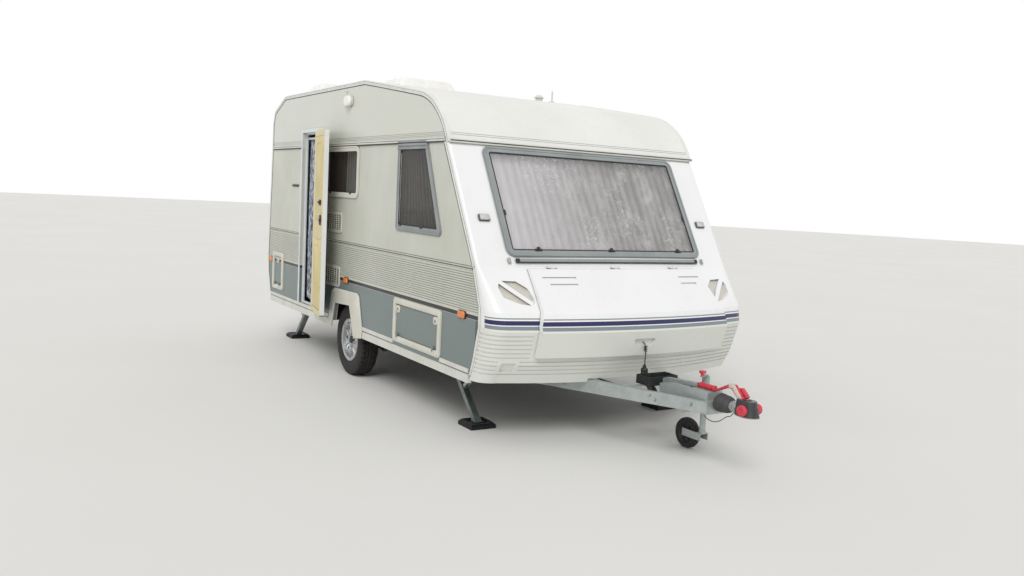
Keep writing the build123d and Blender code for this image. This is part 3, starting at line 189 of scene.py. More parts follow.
# Grime that rain drags down in streaks streakMm wide, where the noise is strong
def addStreaks(finish, streakMm, tone, strength):
    drawn = addNode(finish, "Mapping", {0: finish["spots"], "Scale": (1.0, 1.0, 0.06)})
    noise = addNode(finish, "TexNoise", {"Vector": drawn, "Scale": 1000 / streakMm, "Detail": 4.0})
    layOver(finish, addNode(finish, "MapRange", {0: noise, 1: 0.5, 2: 0.75, 3: 0.0, 4: strength}), tone)


# Painted shade and dirt in grooves, recesses and joints: darker where ambient occlusion over deepMm finds them closed
# in
def addJointShade(finish, deepMm, tone, strength):
    openness = addNode(finish, "AmbientOcclusion", {"Distance": deepMm / 1000}, samples=6)
    layOver(finish, addNode(finish, "MapRange", {0: openness.outputs["AO"], 1: 0.35, 2: 0.95, 3: strength, 4: 0.0}),
            tone)


# Stripe heights above the ground, in metres, on the walls and the front; axes 0, 1 and 2 are x, y and z
panel = (0.2, 0.786)
stripes = {"black": (0.788, 0.814), "grey": (0.757, 0.78), "navy": (0.786, 0.813), "line": (0.822, 0.83)}

# Stove-enamelled aluminium sheet: a low even gloss, faint waves, rain marks
wallEnamel = makeFinish("wallEnamelledAluminium", ("#CBCCC1", "#C4C5B9"), 420, 18, 0.02, (0.32, 0.42),
                        Coat_Weight=0.15)
addStreaks(wallEnamel, 22, "#B2B2A3", 0.22)
addBand(wallEnamel, "#D4D5CB", {2: (1.905, 2.6)})
addBand(wallEnamel, "#74807F", {2: panel})
addBand(wallEnamel, "#131416", {2: stripes["black"]})
addBand(wallEnamel, "#4A5652", {0: (2.212, 2.4), 2: panel})
addJointShade(wallEnamel, 9, "#6E6F66", 0.75)
addBand(wallEnamel, "#D9D4C6", {1: (-1.036, 1.036)})

# Glass-fibre gelcoat: bright white with a soft deep gloss; below the stripes, towards the skirt, painted shade greys
# it a little
gelcoat = makeFinish("frontGelcoat", ("#F0F1F1", "#ECEDEC"), 700, 90, 0.02, (0.2, 0.3), Coat_Weight=0.3)
addStreaks(gelcoat, 60, "#D5D7D1", 0.1)
addJointShade(gelcoat, 16, "#9A9D96", 0.6)
# Painted shade: a greyer band below the stripes, where the skirt faces down
addBand(gelcoat, "#DDDFD8", {2: (0.36, stripes["grey"][0])})
gripPocket = {"edge": [(0.948, 1.042), (0.83, 1.038), (0.765, 0.995), (0.752, 0.93), (0.779, 0.9),
                       (0.862, 0.91), (0.955, 0.946), (0.968, 1.0)],
              "bar": [(0.96, 1.03), (0.943, 1.052), (0.766, 0.918), (0.783, 0.896)]}
# Painted shade in the grab-handle pockets: a greyer tone over the pocket floor, with the bar left white
notBar = opposite(gelcoat, insideOutline(gelcoat, roundCorners(gripPocket["bar"], 0.006, 1)))
paintedPocketShade = insideOutline(gelcoat, roundCorners(gripPocket["edge"], 0.018, 2))
layOver(gelcoat, both(gelcoat, paintedPocketShade, notBar), "#CBC7BE")
facing = between(gelcoat, {0: (0.02, 1.1)}, "Normal")
for stripe, tone in (("grey", "#7C878C"), ("navy", "#060A4C"), ("line", "#7F8A90")):
    layOver(gelcoat, both(gelcoat, facing, between(gelcoat, {2: stripes[stripe]})), tone)

# White coated aluminium of the roof: matt, chalky with age, two pinstripes across its front
roofCoat = makeFinish("roofCoatedAluminium", ("#ECECE7", "#E5E5DF"), 900, 12, 0.04, (0.45, 0.55))
addStreaks(roofCoat, 40, "#D3D3CB", 0.15)
for heights in ((1.9535, 1.958), (1.9655, 1.97)):
    addBand(roofCoat, "#A3A8A8", {0: (1.6, 1.8), 2: heights})
rearCoat = makeFinish("rearGelcoat", ("#EDEEEC", "#E5E6E2"), 500, 30, 0.05, (0.25, 0.38), Coat_Weight=0.25)
addStreaks(rearCoat, 30, "#C6C7BE", 0.16)

# Extruded white plastic, satin; painted rails, with the dark joint line across the front
whiteTrim = makeFinish("whiteTrimExtrusion", ("#E9EAE6", "#DFE0DA"), 90, 3, 0.03, (0.3, 0.42))
railTrim = makeFinish("paintedRail", ("#DADAD3", "#D0D0C8"), 160, 4, 0.04, (0.35, 0.5))
addStreaks(railTrim, 14, "#A5A599", 0.2)
addBand(railTrim, "#3F4343", {0: (1.65, 1.8), 1: (-1.056, 1.056), 2: (1.9105, 1.9185)})

# Moulded ABS of the vents, hatch frames and arches: cream gone a little yellow, fine spark-eroded grain
creamAbs = makeFinish("creamMouldedAbs", ("#DBD9CE", "#D1CFC3"), 160, 1.6, 0.06, (0.4, 0.5))
addStreaks(creamAbs, 14, "#B2AFA2", 0.1)
# Painted shade: the dark plate set behind the vent slats
ventDark = makeFinish("ventDeepShade", ("#26231E", "#322E28"), 40, 3, 0.05, (0.8, 0.9))

# Window frames: grey moulded at the front, cream-white on the kitchen, side and rear ones
frameGrey = makeFinish("greyWindowMoulding", ("#979C9D", "#8A9091"), 200, 2, 0.05, (0.38, 0.5))
addBand(frameGrey, "#DAD8CC", {0: (-2.97, 0.8)})
addJointShade(frameGrey, 8, "#4A4C49", 0.6)

# Cast acrylic, smoke tinted: it shows the cloth behind it and a clear sky reflection. The front pane also carries a
# painted reflection: mottled pale greys, paler towards the near side, painted shade along the top, and bright painted
# glints
acrylic = makeFinish("smokedCastAcrylic", ("#34322F", "#3E3B38"), 300, 200, 0.02, (0.03, 0.07), Alpha=0.4, IOR=1.49)
spots = acrylic["spots"]
drawn = addNode(acrylic, "Mapping", {0: spots, "Scale": (1.0, 1.0, 0.5)})
bright = addNode(acrylic, "TexNoise", {"Vector": drawn, "Scale": 9.0, "Detail": 9.0, "Roughness": 0.72})
paintedReflection = addNode(acrylic, "ValToRGB", {0: bright},
                [(0.0, "#8C8A88"), (1.0, "#EDECEC"), (0.42, "#A3A19F"), (0.55, "#B7B5B4"), (0.66, "#D4D2D1")])
cluster = addNode(acrylic, "TexNoise", {"Vector": spots, "Scale": 2.6})
clusters = addNode(acrylic, "MapRange", {0: cluster, 1: 0.5, 2: 0.62})
speck = addNode(acrylic, "TexNoise", {"Vector": spots, "Scale": 46.0, "Detail": 5.0, "Roughness": 0.7})
paintedGlints = addNode(acrylic, "MapRange", {0: speck, 1: 0.55, 2: 0.64})
placed = addNode(acrylic, "SeparateXYZ", {0: spots})
paintedNearReflection = addNode(acrylic, "MapRange", {0: placed.outputs[1], 1: -0.8, 2: 0.2, 3: 0.8, 4: 0.0})
topShade = addNode(acrylic, "MapRange", {0: placed.outputs[2], 1: 1.77 - ballZ, 2: 1.86 - ballZ, 3: 0.0, 4: 0.6})
frontPane = between(acrylic, {0: (1.6, 2.4)})
# Painted reflection and painted shade, on the front pane only
layOver(acrylic, frontPane, paintedReflection.outputs[0])
layOver(acrylic, both(acrylic, frontPane, paintedNearReflection), "#F3EFF4")
layOver(acrylic, both(acrylic, frontPane, topShade), "#727D79")
layOver(acrylic, both(acrylic, frontPane, both(acrylic, clusters, paintedGlints)), "#F4F3F4")
outside = opposite(acrylic, between(acrylic, {1: (-1.0, 1.0)}))
layOver(acrylic, both(acrylic, between(acrylic, {0: (0.9, 2.4)}), outside), "#403D39")

# Moulded acrylic lenses: clear gloss over a deep colour; the rooflight domes are milky
clearAcrylic = makeFinish("clearMouldedLens", ("#F3F3EE", "#E8E8E2"), 30, 4, 0.2, (0.05, 0.12), Alpha=0.45)
orangeLens = makeFinish("orangeMouldedLens", ("#EB8830", "#DB7722"), 20, 3, 0.1, (0.12, 0.22), Coat_Weight=0.6)
redLens = makeFinish("redMouldedLens", ("#B5171B", "#9C1014"), 30, 3, 0.1, (0.1, 0.2), Coat_Weight=0.6)
opalDome = makeFinish("opalRooflightAcrylic", ("#F7F6F2", "#EDEBE5"), 90, 6, 0.05, (0.2, 0.32),
                      Subsurface_Weight=0.15, Coat_Weight=0.4)

# Hot-dip galvanised steel: pale zinc with a spangle of crystals about 11 mm across
galvanised = makeFinish("hotDipGalvanised", ("#B3BAB8", "#A3ABA9"), 110, 3, 0.05, (0.4, 0.55), Metallic=0.55)
spangle = addNode(galvanised, "TexVoronoi", {"Vector": galvanised["spots"], "Scale": 1000 / 11})
crystals = addNode(galvanised, "SeparateColor", {0: spangle.outputs["Color"]})
layOver(galvanised, addNode(galvanised, "MapRange", {0: crystals, 1: 0.0, 2: 1.0, 3: 0.0, 4: 0.32}), "#C3CAC9")
underside = makeFinish("weatheredGalvanised", ("#6C706C", "#585B57"), 60, 5, 0.2, (0.6, 0.8), Metallic=0.3)
castSteel = makeFinish("machinedCasting", ("#B9BBB8", "#9C9E9B"), 25, 2, 0.15, (0.35, 0.5), Metallic=0.8)
blackPaint = makeFinish("blackPaintedSteel", ("#323336", "#262729"), 40, 3, 0.1, (0.35, 0.5), Coat_Weight=0.2)
blackPlastic = makeFinish("blackMouldedPlastic", ("#1E1F20", "#2A2B2B"), 50, 1.5, 0.08, (0.45, 0.6))

# Red moulded nylon, faded pinkish where the sun reaches it; rubbers, dull and a little dusty
redNylon = makeFinish("fadedRedNylon", ("#C72C3E", "#D2505D"), 18, 2, 0.1, (0.4, 0.55))
bellowsRubber = makeFinish("bellowsRubber", ("#3B3A3C", "#4A484A"), 30, 2, 0.1, (0.6, 0.75))
tyreRubber = makeFinish("tyreRubber", ("#232222", "#2D2B29"), 60, 2, 0.15, (0.75, 0.9))
greyRubber = makeFinish("greyBumperRubber", ("#565958", "#636665"), 90, 2, 0.1, (0.6, 0.7))

# Silver-lacquered wheel: fine metallic lacquer with brake dust
wheelSilver = makeFinish("silverWheelLacquer", ("#C5C7C9", "#AEB0B1"), 45, 2, 0.03, (0.25, 0.4), Metallic=0.75,
                         Coat_Weight=0.3)
lining = makeFinish("creamDoorLining", ("#DFD09A", "#D7C78C"), 250, 2, 0.08, (0.45, 0.55))
doorWhite = makeFinish("whiteDoorAluminium", ("#DDE2E4", "#D2D7DA"), 200, 4, 0.03, (0.3, 0.4))

# Birch plywood: long pale grain inside the locker, sealed black on its outer faces
plywood = makeFinish("birchPlywood", ("#CDB288", "#BB9C70"), 300, 3, 0.1, (0.5, 0.65))
addStreaks(plywood, 9, "#94744A", 0.5)
for spans in ({1: (-0.8, -0.786)}, {1: (0.786, 0.8)}, {2: (0.4, 0.434)}):
    addBand(plywood, "#2E2C28", spans)
blackBoard = makeFinish("sealedFloorUnderside", ("#3C3A35", "#2E2C28"), 80, 6, 0.3, (0.7, 0.85))

# Door: outer face as the wall, cream inside, white edges
doorSkin = makeFinish("doorEnamelledAluminium", ("#CBCCC1", "#C4C5B9"), 420, 18, 0.02, (0.32, 0.42))
addBand(doorSkin, "#74807F", {2: panel})
addBand(doorSkin, "#24262B", {2: stripes["black"]})
addBand(doorSkin, "#DBCB92", {1: (-1.1, -0.9)}, "Normal")
for span in ((0.9, 1.1), (-1.1, -0.9)):
    addBand(doorSkin, "#E3E5E3", {0: span}, "Normal")

# Finishes that change along a node: zinc with a red grip or knob, a black foot, a pale lamp base
leverPaint = makeFinish("handbrakeZincAndGrip", ("#A6AEAC", "#919A99"), 40, 3, 0.05, (0.4, 0.55), Metallic=0.4)
addBand(leverPaint, "#C72A3C", {0: (3.117, 3.3)})
knobPaint = makeFinish("jockeyZincAndKnob", ("#A6AEAC", "#8D9796"), 40, 3, 0.05, (0.4, 0.55), Metallic=0.3)
addBand(knobPaint, "#D9606B", {2: (0.5095, 0.6)})
padPaint = makeFinish("redFrictionPads", ("#C72F40", "#D2545F"), 18, 2, 0.1, (0.4, 0.55))
legPaint = makeFinish("steadyZinc", ("#8F9795", "#7D8584"), 60, 3, 0.05, (0.45, 0.6), Metallic=0.5)
addBand(legPaint, "#1F2022", {2: (-0.1, 0.0342)})
markerPaint = makeFinish("markerLens", ("#F08418", "#E27512"), 20, 3, 0.1, (0.12, 0.22), Coat_Weight=0.5)
addBand(markerPaint, "#E9EAE6", {1: (-1.0, 1.0)})
cableBlack = makeFinish("blackPvcSheath", ("#1B1B1C", "#262627"), 20, 1, 0.05, (0.4, 0.55))
cableSteel = makeFinish("sheathedSteelCable", ("#55504A", "#2E2B29"), 14, 1, 0.05, (0.4, 0.55), Metallic=0.3)

corners = ("front_right", "front_left", "rear_right", "rear_left")
nodeFinishes = (
    (wallEnamel, ["side_wall_left", "side_wall_right", "front_locker_hatch", "rear_locker_hatch"]),
    (gelcoat, ["front_panel", "gas_locker_lid"]), (roofCoat, ["roof_panel"]), (rearCoat, ["rear_panel"]),
    (whiteTrim, ["edge_trims", "window_curtains", "door_fly_curtain"]), (frameGrey, ["window_frames"]),
    (railTrim, ["body_rails", "roof_vent_and_aerial"]), (acrylic, ["window_panes"]), (doorWhite, ["door_frame"]),
    (creamAbs, ["fridge_vents", "hatch_frames", "wheel_arch_trims", "awning_lamp"]), (doorSkin, ["door_panel"]),
    (blackPlastic, ["door_fittings", "drawbar_tray", "lead_plug"]), (opalDome, ["rooflights"]),
    (markerPaint, ["marker_lamps"]), (redLens, ["rear_lamps"]), (greyRubber, ["rear_bumper"]),
    (galvanised, ["chassis_rails", "drawbar", "overrun_housing", "jockey_inner_tube", "jockey_fork",
                  "steady_brackets"] + ["steady_brace_" + corner for corner in corners]),
    (legPaint, ["steady_leg_" + corner for corner in corners]), (underside, ["axle"]),
    (tyreRubber, ["tyre_left", "tyre_right", "jockey_wheel"]), (wheelSilver, ["rim_left", "rim_right"]),
    (bellowsRubber, ["drawbar_bellows"]), (castSteel, ["tow_shaft"]), (blackPaint, ["coupling_head"]),
    (padPaint, ["coupling_levers"]), (leverPaint, ["handbrake_lever"]), (knobPaint, ["jockey_clamp"]),
    (blackBoard, ["floor", "wheel_boxes"]), (plywood, ["gas_locker_box"]), (cableBlack, ["plug_lead"]),
    (cableSteel, ["breakaway_cable"]),
)


def paint(part, finish):
    part.data.materials.clear()
    part.data.materials.append(finish["material"])
    return part


for finish, names in nodeFinishes:
    for name in names:
        paint(nodes[name], finish)
print("finishes on", sum(len(names) for finish, names in nodeFinishes), "nodes")


# Planes of the body, each with its zero, its level direction, its upward direction and its outward direction
def makePlane(zero, along, out):
    along, out = Vector(along).normalized(), Vector(out).normalized()
    return {"zero": place(*zero), "along": along, "up": out.cross(along), "out": out}


rightWall = makePlane((0, -1.06, 0), (1, 0, 0), (0, -1, 0))
leftWall = makePlane((0, 1.06, 0), (-1, 0, 0), (0, 1, 0))
frontSlope = makePlane((1.9765, 0, 1.5175), (0, 1, 0), (775, 0, 459))
rearSlope = makePlane((-2.1485, 0, 1.375), (0, -1, 0), (-1110, 0, 77))
ground = makePlane((0, 0, 0), (1, 0, 0), (0, 0, 1))
middle = makePlane((0, 0, 0), (1, 0, 0), (0, -1, 0))
upwards, sideways, rightwards = (0, 0, 1), (0, 1, 0), (0, -1, 0)
wallSides = ((rightWall, 1), (leftWall, -1))


def onPlane(plane, u, v, w=0.0):
    return plane["zero"] + plane["along"] * u + plane["up"] * v + plane["out"] * w


# Outlines: a box, and a box round a spot, by half its sides
def boxOutline(u0, v0, u1, v1):
    return [(u0, v0), (u1, v0), (u1, v1), (u0, v1)]


def around(u, v, halfWide, halfTall):
    return u - halfWide, v - halfTall, u + halfWide, v + halfTall


# A box made smaller by inset on every side
def insetBox(box, inset):
    return box[0] + inset, box[1] + inset, box[2] - inset, box[3] - inset


# The same outline, drawn inside by inset
def shrinkOutline(points, inset):
    points = [Vector(point) for point in points]
    area = sum(a.cross(b) for a, b in zip(points, points[1:] + points[:1]))
    turn = 1 if area > 0 else -1
    made = []
    for before, here, after in zip(points[-1:] + points[:-1], points, points[1:] + points[:1]):
        first, second = (here - before).normalized(), (after - here).normalized()
        sides = [Vector((-way.y, way.x)) * turn for way in (first, second)]
        made.append(tuple(here + (sides[0] + sides[1]) * inset / (1 + sides[0].dot(sides[1]))))
    return made


# Modelling helpers: each leaves one painted object, in object mode, with its place in its mesh
def settle(part, finish, width=0.0, rows=2):
    bpy.ops.object.mode_set(mode="EDIT")
    bpy.ops.mesh.select_all(action="SELECT")
    bpy.ops.mesh.remove_doubles(threshold=0.00001)
    bpy.ops.mesh.normals_make_consistent(inside=False)
    bpy.ops.object.mode_set(mode="OBJECT")
    bpy.ops.object.transform_apply(location=True, rotation=True, scale=True)
    if width:
        soften = part.modifiers.new("edges", "BEVEL")
        soften.width = width
        soften.segments = rows
        soften.limit_method = "ANGLE"
        soften.angle_limit = math.radians(35)
        bpy.ops.object.modifier_apply(modifier=soften.name)
    return paint(part, finish)


# A plate or, with a band, a flat ring that wide, from low to high above a plane
def addPlate(finish, plane, outline, low, high, width=0.0, rows=2, band=None):
    deselectAll()
    bpy.ops.mesh.primitive_circle_add(vertices=len(outline), radius=1, fill_type="NGON")
    plate = bpy.context.object
    for corner, (u, v) in zip(plate.data.vertices, outline):
        corner.co = onPlane(plane, u, v, low)
    bpy.ops.object.mode_set(mode="EDIT")
    bpy.ops.mesh.select_all(action="SELECT")
    if band:
        bpy.ops.mesh.inset(thickness=band)
        bpy.ops.mesh.delete(type="FACE")
        bpy.ops.mesh.select_all(action="SELECT")
    bpy.ops.mesh.extrude_region_move(TRANSFORM_OT_translate={"value": plane["out"] * (high - low)})
    return settle(plate, finish, width, rows)


# The same on a box, with round corners where corner gives their radius and rows
def addBox(finish, plane, box, corner, low, high, width=0.0, rows=2, band=None):
    outline = roundCorners(boxOutline(*box), *corner) if corner else boxOutline(*box)
    return addPlate(finish, plane, outline, low, high, width, rows, band)


# A strip laid along a line of points
def addStrip(finish, plane, points, band, low, high, width=0.0, shift=0.0):
    line = [Vector(point) for point in points]
    ways = [(b - a).normalized() for a, b in zip(line, line[1:])]
    sides = []
    for first, second in zip(ways[:1] + ways, ways + ways[-1:]):
        normal = Vector((-first.y - second.y, first.x + second.x)).normalized()
        sides.append(normal / max(0.3, normal.dot(Vector((-first.y, first.x)))))
    left = [tuple(point + side * (shift + band / 2)) for point, side in zip(line, sides)]
    rightSide = [tuple(point + side * (shift - band / 2)) for point, side in zip(line, sides)]
    return addPlate(finish, plane, left + rightSide[::-1], low, high, width)


# Ribs that run outwards from a plane's zero. near and far: distance, half width
def addRibs(finish, plane, count, offset, near, far, low, high, width, rows=2):
    ribs = []
    for k in range(count):
        turn = 2 * math.pi * (k + offset) / count
        way = Vector((math.cos(turn), math.sin(turn)))
        across = Vector((-way.y, way.x))
        edge = [way * near[0] - across * near[1], way * far[0] - across * far[1],
                way * far[0] + across * far[1], way * near[0] + across * near[1]]
        ribs.append(addPlate(finish, plane, edge, low, high, width, rows))
    return ribs


# A turned part. Profile: how far along the axis, radius
def addTurned(finish, origin, axis, profile, steps=32, width=0.0):
    deselectAll()
    origin, axis = place(*origin), Vector(axis).normalized()
    side = axis.orthogonal().normalized()
    bpy.ops.mesh.primitive_circle_add(vertices=len(profile), radius=1, fill_type="NOTHING")
    part = bpy.context.object
    for corner, (along, radius) in zip(part.data.vertices, profile):
        corner.co = origin + axis * along + side * radius
    bpy.ops.object.mode_set(mode="EDIT")
    bpy.ops.mesh.select_all(action="SELECT")
    bpy.ops.mesh.spin(steps=steps, angle=2 * math.pi, center=origin, axis=axis)
    bpy.ops.mesh.select_all(action="SELECT")
    bpy.ops.mesh.remove_doubles(threshold=0.00001)
    bpy.ops.mesh.delete_loose(use_verts=True, use_edges=True, use_faces=False)
    return settle(part, finish, width)


# A smooth round line through space, still a curve
def drawLine(name, points, radius, rows, rings):
    line = bpy.data.curves.new(name, "CURVE")
    line.dimensions = "3D"
    line.bevel_depth = radius
    line.bevel_resolution = rows
    line.use_fill_caps = True
    line.resolution_u = rings
    run = line.splines.new("NURBS")
    run.points.add(len(points) - 1)
    for knot, point in zip(run.points, points):
        knot.co = (*place(*point), 1)
    run.order_u = 3
    run.use_endpoint_u = True
    drawn = bpy.data.objects.new(name, line)
    bpy.context.scene.collection.objects.link(drawn)
    return drawn


def addBar(finish, points, radius):
    deselectAll()
    bar = drawLine("bar", points, radius, 3, 10)
    bpy.context.view_layer.objects.active = bar
    bar.select_set(True)
    bpy.ops.object.convert(target="MESH")
    return settle(bpy.context.object, finish)


# A cord along its route, on its body, in place of the drawing's node it replaces
def addCord(name, cord, finish, body, replaced, **said):
    piece = drawLine(name, cord["route"], cord["diameter"] / 2, 4, 12)
    piece.data.materials.append(finish["material"])
    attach(piece, body)
    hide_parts(replaced)


def copyPart(part, shift=(0, 0, 0), mirrored=False):
    twin = part.copy()
    twin.data = part.data.copy()
    bpy.context.scene.collection.objects.link(twin)
    if mirrored:
        twin.data.transform(Matrix.Scale(-1, 4, (0, 1, 0)))
        twin.data.flip_normals()
    twin.data.transform(Matrix.Translation(shift))
    return twin


# The parts and their twins on the other side
def withTwins(parts):
    return parts + [copyPart(part, mirrored=True) for part in parts]


def finishPiece(name, parts, body, replaced=(), angle=35):
    deselectAll()
    for part in parts:
        part.select_set(True)
    bpy.context.view_layer.objects.active = parts[0]
    if len(parts) > 1:
        bpy.ops.object.join()
    piece = bpy.context.view_layer.objects.active
    piece.name = name
    piece.data.name = name
    bpy.ops.object.shade_smooth_by_angle(angle=math.radians(angle))
    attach(piece, body)
    if replaced:
        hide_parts(*replaced)
    return piece


# Cords: the same routes as the drawing's, in metres. The lead has its coil and its plug, with a flap
plugLead = {"diameter": 0.007, "length": 0.16,
            "route": [(2.5875, -0.014, 0.668), (2.612, -0.014, 0.6629), (2.621, -0.012, 0.612),
                      (2.613, -0.008, 0.57), (2.613, -0.008, 0.525)]}
leadPlug = {"top": (2.613, -0.008, 0.525), "flap": ((2.634, -0.02, 0.447), (2.6365, 0.004, 0.489)),
            "profile": [(0, 0), (0, 0.0075), (0.004, 0.009), (0.008, 0.0085), (0.012, 0.0115), (0.015, 0.011),
                        (0.018, 0.0135), (0.021, 0.013), (0.024, 0.017), (0.027, 0.0205), (0.031, 0.0228),
                        (0.044, 0.0228), (0.046, 0.0215), (0.05, 0.0215), (0.052, 0.0228), (0.081, 0.0228),
                        (0.084, 0.0215), (0.084, 0)]}
leadCoil = {"centre": (2.6175, -0.0125, 0.648), "radius": 0.0105, "turn": 1.05, "fall": 0.0019, "wire": 0.0026}
plugBody = addTurned(blackPlastic, leadPlug["top"], (0, 0, -1), leadPlug["profile"], 40)
x, y, z = leadCoil["centre"]
coil = [(x + leadCoil["radius"] * math.cos(k * leadCoil["turn"]),
         y + leadCoil["radius"] * math.sin(k * leadCoil["turn"]), z - leadCoil["fall"] * k) for k in range(20)]
finishPiece("plugLeadCoil", [addBar(cableBlack, coil, leadCoil["wire"])], "gas_lid")
low, high = (place(*corner) for corner in leadPlug["flap"])
deselectAll()
bpy.ops.mesh.primitive_cube_add(size=1, location=(low + high) / 2, scale=high - low)
plugFlap = settle(bpy.context.object, blackPlastic, 0.001)
finishPiece("leadPlugBody", [plugBody, plugFlap], "gas_lid", ["lead_plug"])
addCord("plugLeadSheath", plugLead, cableBlack, "gas_lid", "plug_lead", far_end="plug", stiffness="limp",
        lay="hanging", with_pieces=["leadPlugBody", "plugLeadCoil"])

breakaway = {"diameter": 0.005, "length": 0.35,
             "route": [(3.15, 0, 0.3857), (3.152, 0, 0.35), (3.172, 0, 0.322), (3.208, 0, 0.303),
                       (3.252, 0, 0.298), (3.295, 0, 0.309), (3.33, 0, 0.333), (3.362, 0, 0.357),
                       (3.398, 0, 0.366), (3.414, 0, 0.3955)]}
addCord("breakawaySheath", breakaway, cableSteel, "caravan", "breakaway_cable", far_end="object",
        stiffness="medium", lay="hanging")
print("cords laid")


# Cloth: woven threads threadMm apart, with painted shade in the valleys of its folds
def makeCloth(name, tones, foldShadeTone, threadMm):
    finish = makeFinish(name, tones, 90, threadMm, 0.2, (0.8, 0.95), Sheen_Weight=0.3)
    leant = addNode(finish, "Mapping", {0: finish["spots"], "Rotation": (0.6, 0.5, 0.4)})
    weave = addNode(finish, "TexWave", {"Vector": leant, "Scale": 1000 / threadMm / 6, "Distortion": 1.0})
    thread = addNode(finish, "MapRange", {0: weave.outputs["Fac"], 3: 0.0, 4: 0.1})
    layOver(finish, thread, "#FFFFFF" if int(tones[0][1:3], 16) > 128 else "#000000")
    fold = addNode(finish, "Attribute", attribute_name="fold")
    paintedFoldShade = addNode(finish, "MapRange", {0: fold.outputs["Fac"], 1: -1.0, 2: 0.6, 3: 0.8, 4: 0.0})
    layOver(finish, paintedFoldShade, foldShadeTone)
    return finish


frontCloth = makeCloth("paleNetCurtain", ("#DFDCDB", "#D2CECD"), "#8E8A8A", 1.4)
voile = makeCloth("darkVoileCurtain", ("#8A8172", "#746C5E"), "#2A261F", 1.2)
blindBrown = makeCloth("brownPleatedBlind", ("#8A6B5E", "#765B50"), "#3E2E28", 1.4)
linerGrey = makeCloth("greyLinerCurtain", ("#F0EEE6", "#E0DED6"), "#8C8A83", 1.4)

# Gathered curtains: plane, low and high, where each side edge is at low and at high, folds, how deep the folds
# are, how far behind the plane they hang, cloth
curtains = {
    "frontCurtain": (frontSlope, (-0.388, 0.432), (-0.825, -0.825), (0.825, 0.825), 26, 0.008, 0.0428, frontCloth),
    "sideCurtainRight": (rightWall, (1.275, 1.905), (0.972, 0.972), (1.71, 1.446), 13, 0.008, 0.0393, voile),
    "sideCurtainLeft": (leftWall, (1.275, 1.905), (-1.71, -1.446), (-0.972, -0.972), 13, 0.008, 0.0393, voile),
    "kitchenCurtainRear": (rightWall, (1.48, 1.904), (-0.57, -0.57), (-0.15, -0.15), 12, 0.006, 0.0393,
                           blindBrown),
    "kitchenCurtainFront": (rightWall, (1.48, 1.904), (-0.15, -0.15), (0.226, 0.226), 7, 0.007, 0.0393,
                            linerGrey),
    "bedCurtainLeft": (leftWall, (1.33, 1.88), (-0.45, -0.45), (0.65, 0.65), 18, 0.008, 0.0393, frontCloth),
    "rearCurtain": (rearSlope, (-0.03, 0.47), (-0.6, -0.6), (0.6, 0.6), 19, 0.008, 0.0413, frontCloth),
}
for number, (name, cut) in enumerate(curtains.items()):
    plane, (low, high), starts, ends, folds, depth, behind, finish = cut
    deselectAll()
    bpy.ops.mesh.primitive_grid_add(x_subdivisions=folds * 12, y_subdivisions=14, size=1)
    cloth = bpy.context.object
    fall = high - low
    foldShade = cloth.data.attributes.new("fold", "FLOAT", "POINT")
    for point in cloth.data.vertices:
        s, t = point.co.x + 0.5, point.co.y + 0.5
        start = starts[0] + (starts[1] - starts[0]) * t
        end = ends[0] + (ends[1] - ends[0]) * t
        wander = 0.16 * math.sin(3.1 * s * folds * 0.37 + number) + 0.05 * math.sin(5 * t + 9 * s)
        swing = math.sin(2 * math.pi * (s * folds + wander))
        deep = depth * (0.75 + 0.25 * math.sin(1.7 * s * folds + 2.0 * number)) * (1 - 0.25 * t)
        u = start + (end - start) * s + 0.0015 * math.sin(4 * t + 13 * s * folds)
        u = min(max(u, min(start, end)), max(start, end))
        point.co = onPlane(plane, u, low + fall * t, swing * deep - behind)
        foldShade.data[point.index].value = swing
    paint(cloth, finish)
    replaced = ["window_curtains"] if name == "frontCurtain" else []
    finishPiece(name, [cloth], "caravan", replaced, angle=60)

# Chenille fly curtain: fluffy strands gathered at the rear jamb
flyCurtain = {"low": (-1.149, -1.005, 0.499), "high": (-1.039, -0.945, 1.984), "strands": (6, 3),
              "radius": 0.0105, "rings": 70}
chenille = makeFinish("blueGreyChenille", ("#7C8698", "#4B5468"), 9, 2, 1.2, (0.9, 1.0), Sheen_Weight=0.6)
tufts = addNode(chenille, "Mapping", {0: chenille["spots"], "Scale": (1, 1, 0.35)})
tuftNoise = addNode(chenille, "TexNoise", {"Vector": tufts, "Scale": 55.0, "Detail": 3.0})
for start, full, tone in ((0.52, 0.58, "#B9C1CB"), (0.44, 0.38, "#252B3D")):
    layOver(chenille, addNode(chenille, "MapRange", {0: tuftNoise, 1: start, 2: full}), tone)
strands = []
columns, rows = flyCurtain["strands"]
curtainLow, curtainHigh = flyCurtain["low"], flyCurtain["high"]
rings = flyCurtain["rings"]
for i in range(columns):
    for j in range(rows):
        x = curtainLow[0] + 0.016 + i * (curtainHigh[0] - curtainLow[0] - 0.032) / (columns - 1)
        y = curtainLow[1] + 0.015 + j * (curtainHigh[1] - curtainLow[1] - 0.03) / (rows - 1)
        tall = curtainHigh[2] - curtainLow[2] - 0.004 - random.uniform(0, 0.03)
        profile = [(tall * k / rings, flyCurtain["radius"] * random.uniform(0.72, 1.08)) for k in range(rings + 1)]
        strand = addTurned(chenille, (x, y, curtainHigh[2] - 0.002), (0, 0, -1), [(0, 0)] + profile + [(tall, 0)], 9)
        turn, sway = random.uniform(0, 6.28), random.uniform(0.001, 0.003)
        for point in strand.data.vertices:
            point.co.x += sway * math.sin(turn + 5 * point.co.z) + random.uniform(-0.0009, 0.0009)
            point.co.y += sway * math.cos(turn + 4 * point.co.z) + random.uniform(-0.0009, 0.0009)
        strands.append(strand)
flyPiece = finishPiece("chenilleFlyCurtain", strands, "caravan", ["door_fly_curtain"], angle=80)
print("curtains hung")

